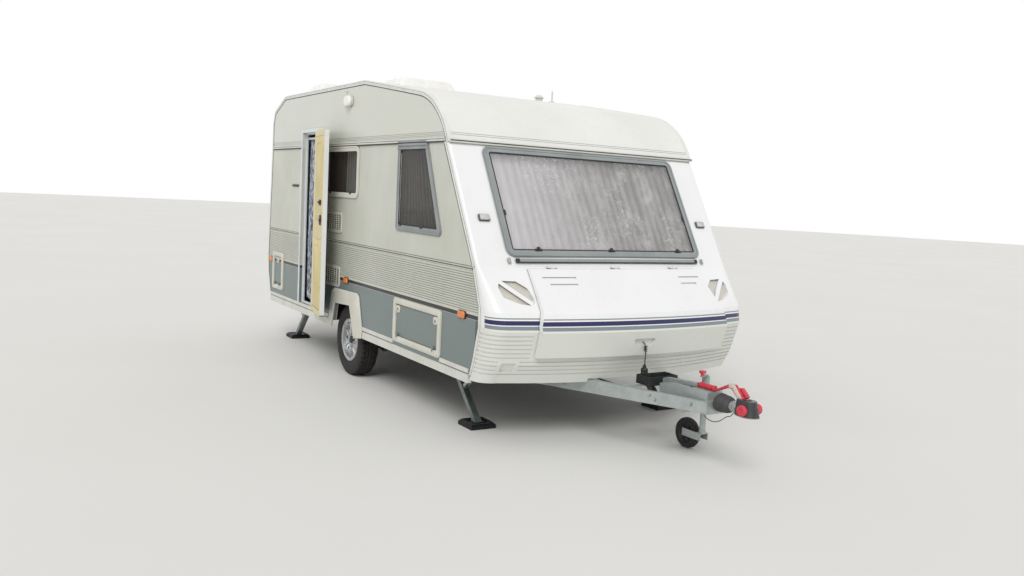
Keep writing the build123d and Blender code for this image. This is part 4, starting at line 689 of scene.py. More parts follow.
# Tyres: moulded profile with four tread grooves, and sipes cut across the shoulders and the ribs
tyre = {"centre": (0, 0.938, 0.297), "steps": 84, "sipeInset": 0.0016, "sipeDepth": 0.004,
        "half": [(0.0632, 0.1655), (0.0642, 0.176), (0.0668, 0.182), (0.072, 0.19), (0.0785, 0.204),
                 (0.0806, 0.206), (0.0812, 0.212), (0.0806, 0.218), (0.082, 0.228), (0.0822, 0.24),
                 (0.0802, 0.258), (0.075, 0.276), (0.069, 0.287), (0.064, 0.2915), (0.056, 0.2945),
                 (0.048, 0.296), (0.0465, 0.2885), (0.04, 0.2885), (0.0385, 0.2966), (0.02, 0.2968),
                 (0.0185, 0.289), (0.012, 0.289), (0.0105, 0.297)]}
addJointShade(tyreRubber, 8, "#121111", 0.6)
profile = tyre["half"] + [(-along, radius) for along, radius in reversed(tyre["half"])]
tyrePart = addTurned(tyreRubber, tyre["centre"], sideways, profile, tyre["steps"])
hub = place(*tyre["centre"])
for face in tyrePart.data.polygons:
    arm = face.center - hub
    radius = math.hypot(arm.x, arm.z)
    step = round(math.degrees(math.atan2(arm.z, arm.x)) / (360 / tyre["steps"]) - 0.5)
    shoulder = 0.05 < abs(arm.y) < 0.072 and radius > 0.286
    rib = 0.021 < abs(arm.y) < 0.037 and radius > 0.294
    face.select = (shoulder and step % 2 == 0) or (rib and step % 3 == 0)
bpy.context.tool_settings.mesh_select_mode = (False, False, True)
bpy.ops.object.mode_set(mode="EDIT")
bpy.ops.mesh.inset(thickness=tyre["sipeInset"], depth=-tyre["sipeDepth"], use_individual=True)
bpy.ops.object.mode_set(mode="OBJECT")
otherTyre = copyPart(tyrePart, mirrored=True)
finishPiece("treadedTyreLeft", [tyrePart], "wheel_left", ["tyre_left"])
finishPiece("treadedTyreRight", [otherTyre], "wheel_right", ["tyre_right"])

# Wheel: polished lip, hub cap, five nuts, raised spokes between the slots, valve
wheel = {"nutCircle": 0.052, "nuts": 5, "spokes": 8, "valve": ((0.135, 0.975, 0.297), (0.128, 1.0, 0.297), 0.004),
         "lip": [(0.06, 0.156), (0.07, 0.164), (0.0728, 0.17), (0.0722, 0.1775), (0.069, 0.1795),
                 (0.0665, 0.176), (0.064, 0.164), (0.056, 0.159)],
         "cap": [(0.038, 0), (0.038, 0.035), (0.052, 0.034), (0.058, 0.03), (0.06, 0.024),
                 (0.0625, 0.02), (0.064, 0.012), (0.0645, 0)],
         "nut": [(0.044, 0), (0.044, 0.0105), (0.056, 0.0105), (0.0595, 0.007), (0.06, 0)]}
axleX, hubY, axleZ = tyre["centre"]
rimParts = [addTurned(castSteel, tyre["centre"], sideways, wheel["lip"], 72),
            addTurned(blackPlastic, tyre["centre"], sideways, wheel["cap"], 40)]
for k in range(wheel["nuts"]):
    turn = 2 * math.pi * (k + 0.5) / wheel["nuts"]
    seat = (axleX + math.sin(turn) * wheel["nutCircle"], hubY, axleZ + math.cos(turn) * wheel["nutCircle"])
    rimParts.append(addTurned(castSteel, seat, sideways, wheel["nut"], 6, 0.0008))
rimParts += addRibs(wheelSilver, makePlane(tyre["centre"], (1, 0, 0), sideways), wheel["spokes"], 0.5,
                    (0.074, 0.01), (0.146, 0.017), 0.04, 0.0515, 0.004, 3)
start, end, radius = wheel["valve"]
run = Vector(end) - Vector(start)
ease = min(radius * 0.3, run.length * 0.2)
profile = [(0, 0), (0, radius - ease), (ease, radius), (run.length - ease, radius), (run.length, radius - ease),
           (run.length, 0)]
rimParts.append(addTurned(blackPlastic, start, run, profile, 10))
rimLeft = finishPiece("wheelTrimLeft", rimParts, "wheel_left")
finishPiece("wheelTrimRight", [copyPart(rimLeft, mirrored=True)], "wheel_right")
print("wheels dressed")

# Wheel arches: softened moulding with a raised lip round the mouth
arch = {"outline": [(-0.366, 0.354), (-0.281, 0.684), (-0.223, 0.712), (0.28, 0.723), (0.317, 0.701),
                    (0.401, 0.458), (0.398, 0.372), (0.241, 0.351), (0.129, 0.602), (-0.212, 0.585), (-0.273, 0.368)],
        "lip": [(-0.283, 0.362), (-0.22, 0.596), (0.134, 0.613), (0.252, 0.35)]}
archParts = [addPlate(creamAbs, rightWall, arch["outline"], 0.0, 0.0155, 0.007, 4),
             addStrip(creamAbs, rightWall, arch["lip"], 0.014, 0.01, 0.0158, 0.003)]
finishPiece("archMouldings", withTwins(archParts), "caravan", ["wheel_arch_trims"])

# Windows: plane, outline, corner radius. Each has a gasket round its pane and a lip on its frame
gasket = makeFinish("blackWindowGasket", ("#232322", "#2E2E2C"), 30, 2, 0.05, (0.6, 0.75))
windows = (
    (frontSlope, boxOutline(-0.825, -0.388, 0.825, 0.432), 0.06),
    (rightWall, [(0.972, 1.275), (1.71, 1.275), (1.446, 1.905), (0.972, 1.905)], 0.03),
    (leftWall, [(-0.972, 1.275), (-0.972, 1.905), (-1.446, 1.905), (-1.71, 1.275)], 0.03),
    (rightWall, boxOutline(-0.57, 1.48, 0.226, 1.904), 0.06),
    (leftWall, boxOutline(-0.45, 1.33, 0.65, 1.88), 0.06),
    (rearSlope, boxOutline(-0.6, -0.03, 0.6, 0.47), 0.06),
)
windowEdge = {"gasketInset": 0.043, "lipInset": 0.003, "least": 0.014}
gasketParts, lipParts = [], []
for plane, outline, radius in windows:
    inset = windowEdge["gasketInset"]
    inner = roundCorners(shrinkOutline(outline, inset), max(radius - inset, windowEdge["least"]), 4)
    gasketParts.append(addPlate(gasket, plane, inner, 0.0035, 0.0095, 0.001, band=0.009))
    edge = roundCorners(shrinkOutline(outline, windowEdge["lipInset"]), radius, 6)
    lipParts.append(addPlate(frameGrey, plane, edge, 0.0085, 0.0118, 0.0015, band=0.013))
finishPiece("windowGaskets", gasketParts, "caravan")
finishPiece("windowFrameLips", lipParts, "caravan")

# Catches, where they sit along and up each window
catches = {"front": [(-0.583, -0.342), (0.018, -0.342), (0.619, -0.342)], "sides": [(-0.772, -0.071), (0.772, -0.071)],
           "sideWindow": [(1.052, 1.318), (1.4, 1.318)], "kitchen": [(-0.4, 1.52), (0.06, 1.52)]}
catchBoxes = []
for u, v in catches["front"]:
    catchBoxes.append((frontSlope, around(u, v, 0.03, 0.009), 0.006, 0.004, 0.012))
    catchBoxes.append((frontSlope, (u - 0.012, v - 0.006, u + 0.012, v + 0.02), 0.005, 0.01, 0.018))
for u, v in catches["sides"]:
    catchBoxes.append((frontSlope, around(u, v, 0.008, 0.02), 0.005, 0.004, 0.013))
for plane, sign in wallSides:
    for u, v in catches["sideWindow"]:
        catchBoxes.append((plane, around(sign * u, v, 0.022, 0.008), 0.005, 0.004, 0.013))
for u, v in catches["kitchen"]:
    catchBoxes.append((rightWall, around(u, v, 0.018, 0.008), 0.005, 0.004, 0.013))
catchParts = [addBox(blackPlastic, plane, box, (radius, 3), low, high, 0.002)
              for plane, box, radius, low, high in catchBoxes]
finishPiece("windowCatches", catchParts, "caravan")

# Louvred head and thin metal stays of the forward side windows
louvre = {"ribs": (1.868, 1.892, 1.916), "rear": 0.968, "front": 1.452, "lean": 0.42}
stay = {"feet": ((1.022, 1.022), (1.648, 1.47)), "low": 1.335, "high": 1.835, "wide": 0.01}
headParts = []
for plane, sign in wallSides:
    for z in louvre["ribs"]:
        front = louvre["front"] - (z - louvre["ribs"][0]) * louvre["lean"]
        u0, u1 = sorted((sign * louvre["rear"], sign * front))
        headParts.append(addBox(frameGrey, plane, (u0, z - 0.008, u1, z + 0.008), None, 0.004, 0.0145, 0.003))
for plane, sign in wallSides:
    for foot, top in stay["feet"]:
        edge = [(sign * foot, stay["low"]), (sign * (foot + stay["wide"]), stay["low"]),
                (sign * (top + stay["wide"]), stay["high"]), (sign * top, stay["high"])]
        headParts.append(addPlate(castSteel, plane, edge, 0.0035, 0.0065, 0.001))
finishPiece("forwardWindowHeadAndStays", headParts, "caravan")

# Rail below the front window: rounded cover, dark slot, black end clips and metal ends
railParts = [addBox(frameGrey, frontSlope, (-0.75, -0.4285, 0.75, -0.409), (0.006, 3), 0.008, 0.0135, 0.003),
             addBox(gasket, frontSlope, (-0.744, -0.4335, 0.744, -0.43), None, 0.004, 0.0115)]
for side in (-1, 1):
    clip, end = side * 0.762, side * 0.824
    railParts.append(addBox(blackPlastic, frontSlope, (clip - 0.014, -0.434, clip + 0.014, -0.404), (0.006, 3),
                            0.002, 0.0145, 0.003))
    railParts.append(addBox(castSteel, frontSlope, (end - 0.009, -0.436, end + 0.009, -0.4), (0.005, 3),
                            0.0005, 0.0125, 0.002))
finishPiece("frontWindowRail", railParts, "caravan")
print("windows fitted")

# Fridge vents: frame, a dark back plate as painted shade behind the slats, and short slats that lean, in columns
vents = {"boxes": ((-0.54, 1.18, -0.11, 1.355), (-0.55, 0.72, -0.125, 0.9)), "columns": 7, "pitch": 0.017,
         "frame": 0.026}
ventParts = []
for box in vents["boxes"]:
    x0, z0, x1, z1 = box
    x0 += vents["frame"]
    ventParts.append(addBox(creamAbs, rightWall, box, (0.034, 5), 0.0, 0.008, 0.003, band=vents["frame"]))
    ventParts.append(addBox(ventDark, rightWall, insetBox(box, 0.019), None, 0.0004, 0.0012))
    wide = (x1 - box[0] - 0.052) / vents["columns"]
    for k in range(1, vents["columns"]):
        x = x0 + wide * k
        ventParts.append(addBox(creamAbs, rightWall, (x - 0.0045, z0 + 0.024, x + 0.0045, z1 - 0.024), None,
                                0.0008, 0.0065, 0.0015))
    z0 += 0.028
    slat = addPlate(creamAbs, rightWall, [(x0 + 0.003, z0), (x0 + wide - 0.003, z0 + 0.007),
                    (x0 + wide - 0.003, z0 + 0.0145), (x0 + 0.003, z0 + 0.0075)], 0.0008, 0.0058, 0.0012)
    for k in range(vents["columns"]):
        for row in range(int((z1 - box[1] - 0.056) / vents["pitch"]) + 1):
            isFirst = k == 0 and row == 0
            ventParts.append(slat if isFirst else copyPart(slat, (wide * k, 0, vents["pitch"] * row)))
finishPiece("fridgeVentGrilles", ventParts, "caravan", ["fridge_vents"])

# Hatches: raised lip round each frame, rounded lock lobes with a key slot at the leaf's top
hatches = {"front": (0.99, 0.46, 1.755, 0.785), "rear": (-1.994, 0.515, -1.66, 0.885)}
hatchLock = [(0.008, 0), (0.008, 0.0125), (0.0105, 0.012), (0.0112, 0.0085), (0.0098, 0.008), (0.0098, 0)]
lipPieces = [addBox(creamAbs, rightWall, insetBox(box, 0.004), (0.048, 6), 0.008, 0.0125, 0.003, band=0.038)
             for box in hatches.values()]
finishPiece("hatchFrameLips", lipPieces, "caravan")
for name, (x0, z0, x1, z1) in hatches.items():
    lobes = []
    for x in ((x0 + 0.08, x1 - 0.08) if name == "front" else ((x0 + x1) / 2,)):
        lobes += [addBox(creamAbs, rightWall, (x - 0.033, z1 - 0.108, x + 0.033, z1 - 0.054), (0.022, 5),
                         0.0012, 0.0085, 0.003, 3),
                  addTurned(castSteel, (x, -1.06, z1 - 0.083), rightwards, hatchLock, 28),
                  addBox(blackPlastic, rightWall, (x - 0.0015, z1 - 0.09, x + 0.0015, z1 - 0.076), None,
                         0.0096, 0.0102)]
    finishPiece(name + "HatchLocks", lobes, name + "_hatch")
print("vents and hatches made")

# Edge trims: a raised bead between joint lines, along roof, rear and front joints
trim = {"edge": [(-2.086, 0.44), (-2.166, 0.67), (-2.187, 0.82), (-2.11, 1.93), (-2.106, 2.16),
                 (-2.05, 2.28), (-1.755, 2.4), (-1.7, 2.41), (0.28, 2.41), (0.574, 2.368), (0.994, 2.306),
                 (1.28, 2.263), (1.3548, 2.2471), (1.427, 2.2217), (1.4954, 2.1874), (1.5588, 2.1446),
                 (1.6162, 2.0941), (1.6668, 2.0367), (1.7096, 1.9733), (1.738, 1.914)],
        "inset": 0.013,
        "seam": [(1.7, 1.9), (2.155, 1.13), (2.262, 0.87), (2.268, 0.745), (2.215, 0.53), (2.18, 0.434)]}
# Dark sealant in the joints; the same finish makes the painted shadow strip under the gutter rail
dark = makeFinish("darkSealantAndPaintedShadow", ("#3A3B39", "#484946"), 40, 2, 0.05, (0.6, 0.75))
greyLine = makeFinish("greyTrimJoint", ("#8D8E89", "#7D7E79"), 40, 2, 0.05, (0.5, 0.65))
trimParts = [addStrip(whiteTrim, rightWall, trim["edge"], 0.008, 0.0025, 0.0062, 0.0018, -trim["inset"]),
             addStrip(whiteTrim, rightWall, trim["seam"], 0.011, 0.0025, 0.0065, 0.0022)]
sealParts = [addStrip(finish, rightWall, trim[line], band, low, high, 0.0, shift)
             for finish, line, band, low, high, shift in (
                 (dark, "edge", 0.0055, 0.0004, 0.0018, -0.0312),
                 (dark, "seam", 0.005, 0.0004, 0.0018, -0.0205),
                 (greyLine, "edge", 0.0026, 0.0022, 0.0036, -trim["inset"] + 0.0062),
                 (greyLine, "seam", 0.003, 0.0022, 0.0036, -0.0084),
                 (greyLine, "seam", 0.003, 0.0022, 0.0036, 0.0084))]
finishPiece("edgeTrimBeads", withTwins(trimParts), "caravan")
finishPiece("edgeTrimJoints", withTwins(sealParts), "caravan")

# Wall mouldings: at the gutter a painted shadow strip under the rail and a dark joint line above it, and bands over
# the panel. Runs: rear and front end of each stretch
wallRuns = {"gutter": ((-2.06, -1.232), (-0.58, 1.69)), "band": ((-2.13, -1.232), (-0.58, 2.15))}
# The first gutter line is painted shadow under the gutter rail
wallLines = {"gutter": ((1.9005, 1.9065, 0.0004, 0.01, 0.0, dark), (1.9215, 1.9245, 0.01, 0.0128, 0.0, dark)),
             "band": ((1.1065, 1.115, 0.0003, 0.0036, 0.0012, wallEnamel),
                      (1.102, 1.105, 0.0003, 0.0012, 0.0, dark), (1.1166, 1.1186, 0.0003, 0.0012, 0.0, dark))}
wallParts = [addBox(finish, rightWall, (x0, z0, x1, z1), None, low, high, width)
             for kind in ("gutter", "band") for x0, x1 in wallRuns[kind]
             for z0, z1, low, high, width, finish in wallLines[kind]]
# On the left wall: the painted shadow strip under the gutter rail, the band and its lower dark line
for x0, z0, z1, high, finish in ((-1.69, 1.9005, 1.9065, 0.01, dark), (-2.15, 1.1065, 1.115, 0.0036, wallEnamel),
                                 (-2.15, 1.102, 1.105, 0.0012, dark)):
    wallParts.append(addBox(finish, leftWall, (x0, z0, 2.06, z1), None, 0.0003, high))
wallParts += [
    addBox(blackPlastic, rightWall, (2.152, 1.098, 2.168, 1.122), (0.003, 2), 0.0003, 0.006, 0.001),
    addBox(blackPlastic, rightWall, (-1.43, 1.548, -1.262, 1.567), (0.005, 3), 0.0003, 0.01, 0.002),
    addTurned(creamAbs, (-0.095, -1.06, 2.352), rightwards,
              [(0.0003, 0), (0.0003, 0.016), (0.004, 0.015), (0.007, 0.011), (0.008, 0)], 24)]
finishPiece("wallMouldings", wallParts, "caravan")

# Side markers: bevelled lenses with moulded ribs, on dark bases
sideMarkers = {"places": (-2.061, 0.018, 2.035), "height": 0.8, "ribPitch": 0.01}
lampParts, baseParts = [], []
for x in sideMarkers["places"]:
    z = sideMarkers["height"]
    baseParts.append(addBox(blackPlastic, rightWall, around(x, z, 0.053, 0.0255), (0.012, 4), 0.0004, 0.0042, 0.001))
    lampParts.append(addBox(orangeLens, rightWall, around(x, z, 0.046, 0.0225), (0.014, 5), 0.004, 0.0135,
                            0.0045, 4))
    for k in range(-3, 4):
        lampParts.append(addBox(orangeLens, rightWall, around(x + k * sideMarkers["ribPitch"], z, 0.0012, 0.016),
                                None, 0.0128, 0.0142, 0.0005))
finishPiece("sideMarkerBases", withTwins(baseParts), "caravan")
finishPiece("sideMarkerLenses", withTwins(lampParts), "caravan", ["marker_lamps"])

# Front markers: base, reflector, lens and divider, each a box about the lamp's centre
frontMarkers = {"places": (-0.932, 0.932), "height": -0.11}
markerParts = []
for u in frontMarkers["places"]:
    v = frontMarkers["height"]
    markerParts += [
        addBox(greyRubber, frontSlope, around(u, v, 0.041, 0.024), (0.009, 4), -0.004, 0.006, 0.001),
        addBox(wheelSilver, frontSlope, (u - 0.032, v - 0.018, u + 0.014, v + 0.018), (0.006, 4), 0.0055, 0.0075),
        addBox(clearAcrylic, frontSlope, around(u, v, 0.035, 0.02), (0.007, 4), 0.008, 0.0155, 0.003, 3),
        addBox(greyRubber, frontSlope, (u + 0.016, v - 0.018, u + 0.033, v + 0.018), (0.004, 3), 0.0055, 0.0078)]
finishPiece("frontMarkerLamps", markerParts, "caravan")

# Awning lamp: backplate, thick opal dome, rim
awningParts = [
    addBox(creamAbs, rightWall, (-0.13, 2.226, 0.05, 2.304), (0.03, 6), 0.0003, 0.012, 0.004, 3),
    addBox(opalDome, rightWall, (-0.078, 2.2205, 0.048, 2.3095), (0.042, 8), 0.011, 0.043, 0.019, 8),
    addBox(creamAbs, rightWall, (-0.08, 2.22, 0.0495, 2.31), (0.043, 8), 0.011, 0.018, 0.0015, band=0.006)]
finishPiece("awningLampUnit", awningParts, "caravan", ["awning_lamp"])
print("trims and lamps made")

# Rooflights: centre, length and width. Base rim, thick softened dome that narrows, ribs, hinges
rooflights = ((-0.215, -0.37, 0.48, 0.56), (-1.3, -0.76, 0.4, 0.36))
domeTaper = 0.09
domeParts = []
for x, y, long, wide in rooflights:
    outer = around(x, y, long / 2, wide / 2)
    domeParts.append(addBox(whiteTrim, ground, outer, (0.045, 6), 2.4105, 2.432, 0.004, band=0.042))
    dome = addBox(opalDome, ground, insetBox(outer, 0.008), (0.04, 6), 2.434, 2.515)
    centre = place(x, y, 0)
    for corner in dome.data.vertices:
        if corner.co.z > 2.45 - ballZ:
            corner.co.x = centre.x + (corner.co.x - centre.x) * (1 - domeTaper / long)
            corner.co.y = centre.y + (corner.co.y - centre.y) * (1 - domeTaper / wide)
    deselectAll()
    dome.select_set(True)
    bpy.context.view_layer.objects.active = dome
    domeParts.append(settle(dome, opalDome, 0.016, 5))
    for k in (-1, 0, 1):
        ribBox = around(x + k * long * 0.22, y, 0.01, wide / 2 - 0.075)
        domeParts.append(addBox(opalDome, ground, ribBox, (0.009, 4), 2.512, 2.5175, 0.002))
    for side in (-1, 1):
        hingeX = x + side * long * 0.3
        hingeBox = (hingeX - 0.02, y + wide / 2 - 0.03, hingeX + 0.02, y + wide / 2 - 0.004)
        domeParts.append(addBox(whiteTrim, ground, hingeBox, (0.006, 3), 2.428, 2.446, 0.003))
finishPiece("rooflightDomes", domeParts, "caravan", ["rooflights"])
print("rooflights made")

# Door, modelled closed and swung open with its panel: lining fields, handle, lock, studs
doorway = {"hinge": (-0.64, -1.08), "open": 169,
           "fields": ((0.694, 0.519, 1.119, 1.119), (0.694, 1.269, 1.119, 1.99)),
           "studHeights": (0.498, 0.72, 1.005, 1.145, 1.245, 1.345, 1.62, 1.86, 2.012), "studSides": (0.672, 1.14),
           "stud": [(-0.001, 0), (-0.001, 0.0075), (0.0012, 0.007), (0.0024, 0.0045), (0.0028, 0)]}
doorInner = makePlane((0, -1.03, 0), (-1, 0, 0), (0, 1, 0))
doorOuter = makePlane((0, -1.068, 0), (1, 0, 0), (0, -1, 0))
liningParts = []
for field in doorway["fields"]:
    u0, v0, u1, v1 = field
    ringBox = (u0 + 0.05, v0 + 0.045, u1 - 0.05, v1 - 0.045)
    liningParts.append(addBox(lining, doorInner, insetBox(field, 0.006), (0.03, 6), -0.0049, -0.0022, 0.002))
    liningParts.append(addBox(lining, doorInner, ringBox, (0.04, 6), -0.0024, 0.0008, 0.0012, band=0.016))
studParts = [addTurned(castSteel, (-u, -1.03, v), sideways, doorway["stud"], 16)
             for v in doorway["studHeights"] for u in doorway["studSides"]]
doorParts = [
    addBox(blackPlastic, doorInner, (0.985, 1.405, 1.075, 1.452), (0.012, 4), 0.0003, 0.007, 0.002, 3),
    addBox(blackPlastic, doorInner, (0.96, 1.418, 1.06, 1.439), (0.009, 4), 0.0065, 0.0135, 0.003, 3),
    addBox(blackPlastic, doorInner, (1.02, 1.24, 1.1, 1.324), (0.014, 4), 0.0003, 0.006, 0.002, 3),
    addTurned(blackPlastic, (-1.06, -1.03, 1.282), sideways,
              [(0.004, 0), (0.004, 0.018), (0.0125, 0.015), (0.0135, 0.01), (0.0135, 0)], 24),
    addBox(blackPlastic, doorOuter, (-1.128, 1.232, -1.008, 1.312), (0.016, 4), 0.0003, 0.0055, 0.002, 3),
    addBox(blackPlastic, doorOuter, (-1.118, 1.262, -1.03, 1.288), (0.011, 4), 0.0055, 0.015, 0.004, 3),
    addTurned(castSteel, (-1.02, -1.068, 1.292), rightwards,
              [(0.005, 0), (0.005, 0.008), (0.0075, 0.0075), (0.008, 0)], 20)]
hinge = place(*doorway["hinge"], 0)
swing = (Matrix.Translation(hinge) @ Matrix.Rotation(math.radians(doorway["open"]), 4, "Z")
         @ Matrix.Translation(-hinge))
for part in liningParts + studParts + doorParts:
    part.data.transform(swing)
finishPiece("doorLiningFields", liningParts, "entry_door")
finishPiece("doorStuds", studParts, "entry_door")
finishPiece("doorHandleAndLock", doorParts, "entry_door", ["door_fittings"])
print("door fitted out")

# Hitch, outlines in mm from the ball: levers with softened edges, ribbed pads, a worn pale strap
hitch = {"padHeight": 0.434, "padSide": 0.042,
         "stabiliser": [(-76, 44), (-46, 54), (-118, 128), (-160, 124), (-274, 66), (-266, 56), (-176, 98),
                        (-138, 100)],
         "coupling": [(-58, 50), (-38, 68), (-88, 112), (-120, 106)], "strap": [(-158, 116), (-124, 121), (-62, 54)],
         "pad": [(0, 0), (0, 0.025), (0.004, 0.029), (0.01, 0.0318), (0.026, 0.0318), (0.031, 0.03),
                 (0.033, 0.0262), (0.0315, 0.02), (0.0315, 0.009), (0.0345, 0.0075), (0.0348, 0)]}


def fromBall(points):
    return [(ballX + x / 1000, ballZ + z / 1000) for x, z in points]


strapPale = makeFinish("palePolishedStrap", ("#D9D2C8", "#C3BAB0"), 14, 2, 0.08, (0.35, 0.5))
leverParts = [addPlate(redNylon, middle, fromBall(hitch["stabiliser"]), -0.015, 0.015, 0.004, 3),
              addPlate(redNylon, middle, fromBall(hitch["coupling"]), -0.044, -0.018, 0.005, 3),
              addStrip(strapPale, middle, fromBall(hitch["strap"]), 0.0275, 0.011, 0.0172, 0.003)]
for side in (-1, 1):
    seat = (ballX, side * hitch["padSide"], hitch["padHeight"])
    leverParts.append(addTurned(redNylon, seat, (0, side, 0), hitch["pad"], 36))
    leverParts += addRibs(redNylon, makePlane(seat, (1, 0, 0), (0, side, 0)), 9, 0, (0.0085, 0.0011),
                          (0.027, 0.0018), 0.03, 0.034, 0.0006)
finishPiece("couplingLeversAndPads", leverParts, "caravan", ["coupling_levers"])

# Coupling head: boss with its stud, bolts, and a bright rim that follows the socket's edge
boss = {"cup": [(0, 0), (0, 0.024), (0.004, 0.023), (0.006, 0.019), (0.0065, 0.011), (0.004, 0.01),
                (0.004, 0)],
        "stud": [(0, 0), (0, 0.0085), (0.004, 0.0078), (0.005, 0)],
        "bolt": [(0, 0), (0, 0.0068), (0.0045, 0.0068), (0.0055, 0.005), (0.0055, 0)],
        "rimSide": [(3.4542, 0.0408), (3.4998, 0.055)], "noseX": 3.538, "noseRadius": 0.055}
headParts = [addTurned(blackPlastic, (3.512, 0, 0.484), upwards, boss["cup"], 32),
             addTurned(castSteel, (3.512, 0, 0.487), upwards, boss["stud"], 24)]
for x in (3.4173, 3.4393):
    headParts.append(addTurned(castSteel, (x, -0.03, ballZ), rightwards, boss["bolt"], 6))
rimNose = [(boss["noseX"] + boss["noseRadius"] * math.sin(math.radians(turn)),
            -boss["noseRadius"] * math.cos(math.radians(turn))) for turn in range(0, 181, 12)]
rimEdge = [(x, -y) for x, y in boss["rimSide"]] + rimNose + boss["rimSide"][::-1]
headParts.append(addPlate(castSteel, ground, rimEdge, 0.3942, 0.399, band=0.0045))
finishPiece("couplingHeadBoss", headParts, "caravan")

# Handbrake grip: rings along it and a domed end. Jockey knob: ribs round its rim
grip = {"start": 3.128, "pitch": 0.0125, "rings": 9, "height": 0.498, "end": 3.2425,
        "ring": [(0, 0.013), (0, 0.016), (0.0015, 0.0168), (0.0045, 0.0168), (0.006, 0.016), (0.006, 0.013)],
        "cap": [(0, 0), (0, 0.013), (0.001, 0.0165), (0.005, 0.019), (0.009, 0.0185), (0.01, 0.015),
                (0.01, 0.006), (0.0085, 0)]}
gripParts = [addTurned(redNylon, (grip["start"] + k * grip["pitch"], 0, grip["height"]), (1, 0, 0), grip["ring"], 28)
             for k in range(grip["rings"])]
gripParts.append(addTurned(redNylon, (grip["end"], 0, grip["height"]), (1, 0, 0), grip["cap"], 28))
finishPiece("handbrakeGripRibs", gripParts, "caravan")
knob = {"centre": (2.979, 0.154), "radius": 0.0192, "height": 0.53, "ribs": 10,
        "rib": [(0, 0), (0, 0.0024), (0.0125, 0.0034), (0.0135, 0.0026), (0.0138, 0)]}
knobParts = []
for k in range(knob["ribs"]):
    turn = 2 * math.pi * k / knob["ribs"]
    spot = (knob["centre"][0] + math.cos(turn) * knob["radius"], knob["centre"][1] + math.sin(turn) * knob["radius"])
    knobParts.append(addTurned(redNylon, (*spot, knob["height"]), upwards, knob["rib"], 10))
finishPiece("jockeyKnobRibs", knobParts, "caravan")

# Drawbar: hexagon bolts on the outer faces, by distance along the beam and height
beam = {"rear": (1.8, -0.5175), "front": (3.285, -0.072), "proud": 0.02,
        "bolts": ((1.15, 0.4), (1.19, 0.378), (0.33, 0.352), (0.48, 0.352), (1.44, 0.398)),
        "bolt": [(0, 0), (0, 0.0115), (0.0015, 0.0115), (0.0015, 0.0088), (0.008, 0.0088), (0.009, 0.007),
                 (0.009, 0)]}
beamWay = (Vector((*beam["front"], 0)) - Vector((*beam["rear"], 0))).normalized()
beamOut = Vector((beamWay.y, -beamWay.x, 0))
barParts = [addTurned(castSteel, Vector((*beam["rear"], z)) + beamWay * along + beamOut * beam["proud"], beamOut,
                      beam["bolt"], 6) for along, z in beam["bolts"]]
finishPiece("drawbarBolts", withTwins(barParts), "caravan")
print("hitch made")

# Jockey wheel: solid tyre with a moulding ridge, dished plastic centre with spokes. Each half is mirrored
jockey = {"centre": (2.813, 0.222, 0.1), "spokes": 6,
          "tyre": [(-0.02, 0.064), (-0.0235, 0.07), (-0.0238, 0.086), (-0.0205, 0.0945), (-0.012, 0.0985),
                   (-0.0015, 0.0995)],
          "dish": [(-0.0238, 0), (-0.0238, 0.017), (-0.016, 0.02), (-0.01, 0.03), (-0.01, 0.054),
                   (-0.018, 0.06), (-0.0205, 0.0655)]}
jockeyParts = []
for finish, half, steps in ((tyreRubber, jockey["tyre"], 56), (blackPlastic, jockey["dish"], 40)):
    profile = half + [(-along, radius) for along, radius in reversed(half)]
    jockeyParts.append(addTurned(finish, jockey["centre"], sideways, profile, steps))
jockeyParts += addRibs(blackPlastic, makePlane(jockey["centre"], (1, 0, 0), rightwards), jockey["spokes"], 0,
                       (0.018, 0.0035), (0.057, 0.0035), -0.017, 0.017, 0.0015)
finishPiece("jockeyWheelTyre", jockeyParts, "jockey_roller", ["jockey_wheel"])

# Steadies: rimmed feet with bolts, threads on the screws. Corner, place of the leg's pivot, way it leans
steady = {"foot": 0.308, "footHalf": 0.083, "boltSpread": 0.052, "screw": 0.318, "turns": 16, "pitch": 0.0085,
          "bolt": [(0, 0), (0, 0.01), (0.005, 0.0095), (0.0065, 0.006), (0.0068, 0)],
          "thread": [(0, 0.007), (0.0021, 0.0092), (0.0042, 0.007)]}
for corner, x, y, way in zip(corners, (1.55, 1.55, -1.605, -1.605), (-0.81, 0.81, -0.81, 0.81),
                             (1, 1, -1, -1)):
    title = corner.title().replace("_", "")
    footX = x + way * steady["foot"]
    footBox = around(footX, y, steady["footHalf"], steady["footHalf"])
    foot = [addBox(blackPlastic, ground, footBox, (0.012, 3), 0.0338, 0.04, 0.0015, band=0.009)]
    for dx in (-1, 1):
        for dy in (-1, 1):
            seat = (footX + dx * steady["boltSpread"], y + dy * steady["boltSpread"], 0.0338)
            foot.append(addTurned(blackPlastic, seat, upwards, steady["bolt"], 18))
    finishPiece("steadyFootRim" + title, foot, "steady_" + corner)
    thread = [addTurned(galvanised, (x + way * (steady["screw"] + k * steady["pitch"]), y, 0.388), (way, 0, 0),
                        steady["thread"], 18) for k in range(steady["turns"])]
    finishPiece("steadyScrewThread" + title, thread, "caravan")
print("running gear made")

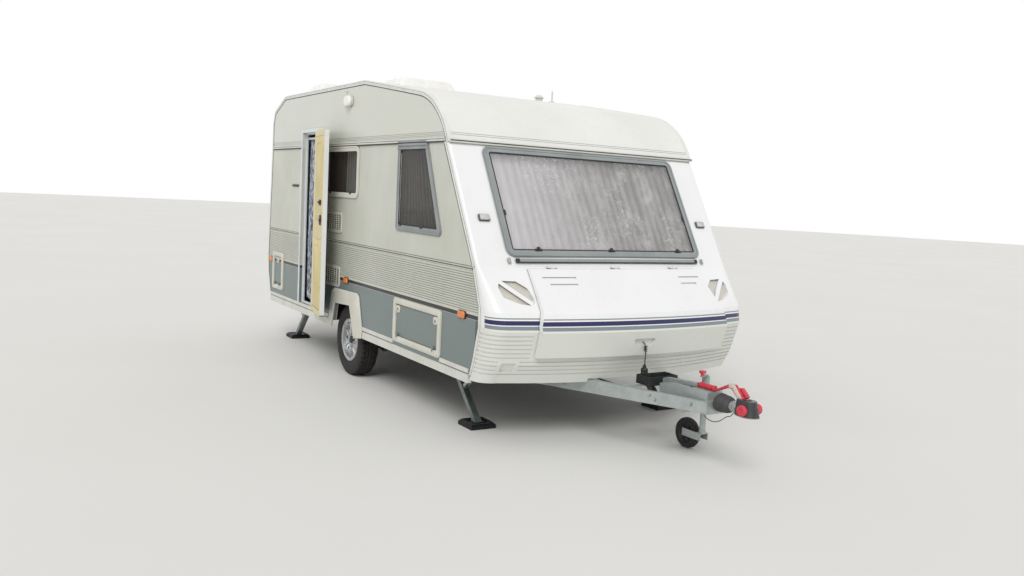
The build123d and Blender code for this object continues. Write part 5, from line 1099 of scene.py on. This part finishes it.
# Rear: lamp segments by height; blank plate in its holder with its lamps
lampBack = makePlane((-2.127, 0, 0.56), (0, -1, 0), (-240, 0, -86))
rearLamp = {"sides": (0.64, 0.98), "tall": 0.036, "segments": ((0.02, redLens), (0.064, orangeLens),
                                                                 (0.108, clearAcrylic))}
rearParts = []
for side in (-1, 1):
    u0, u1 = sorted(side * u for u in rearLamp["sides"])
    for v, finish in rearLamp["segments"]:
        rearParts.append(addBox(finish, lampBack, (u0, v, u1, v + rearLamp["tall"]), (0.008, 4), 0.024, 0.0305,
                                0.003, 3))
finishPiece("rearLampSegments", rearParts, "caravan")
plateParts = [
    addBox(whiteTrim, rearSlope, (-0.26, -0.52, 0.26, -0.41), (0.01, 3), 0.001, 0.006, 0.001),
    addBox(blackPlastic, rearSlope, (-0.268, -0.528, 0.268, -0.402), (0.012, 3), 0.001, 0.008, 0.001, band=0.009)]
for u in (-0.13, 0.13):
    plateParts.append(addBox(blackPlastic, rearSlope, (u - 0.035, -0.396, u + 0.035, -0.368), (0.006, 3),
                             0.001, 0.02, 0.004, 3))
finishPiece("rearPlateAndLamps", plateParts, "caravan")
print("rear dressed")

# Stage: a pale floor, even light from all round and one soft key from the front right
deselectAll()
bpy.ops.mesh.primitive_circle_add(vertices=96, radius=60, fill_type="NGON", location=place(0, 0, 0))
floorDisc = bpy.context.object
floorDisc.name = "studioFloor"
paint(floorDisc, makeFinish("paleStudioFloor", ("#E7E6E2", "#E5E4E0"), 2500, 40, 0.1, (0.8, 0.9)))
studio = {"skyStrength": 0.62, "keyStrength": 1.45, "keyAngle": 28, "keyFrom": (0.56, -0.5, 0.66)}
world = bpy.data.worlds.new("studioSky")
bpy.context.scene.world = world
world.use_nodes = True
sky = world.node_tree
sky.nodes.clear()
rays = addNode(sky, "LightPath")
seen = addNode(sky, "Math", {0: rays.outputs["Is Camera Ray"], 1: rays.outputs["Is Glossy Ray"]}, operation="MAXIMUM")
seenAll = addNode(sky, "Math", {0: seen, 1: rays.outputs["Is Transmission Ray"]}, operation="MAXIMUM")
strength = addNode(sky, "MapRange", {0: seenAll, 3: studio["skyStrength"], 4: 1.0})
addNode(sky, "OutputWorld", {0: addNode(sky, "Background", {0: "#FFFFFF", 1: strength})})
bpy.ops.object.light_add(type="SUN")
key = bpy.context.object
key.data.energy = studio["keyStrength"]
key.data.angle = math.radians(studio["keyAngle"])
key.rotation_euler = Vector(studio["keyFrom"]).to_track_quat("Z", "Y").to_euler()
print("stage lit")
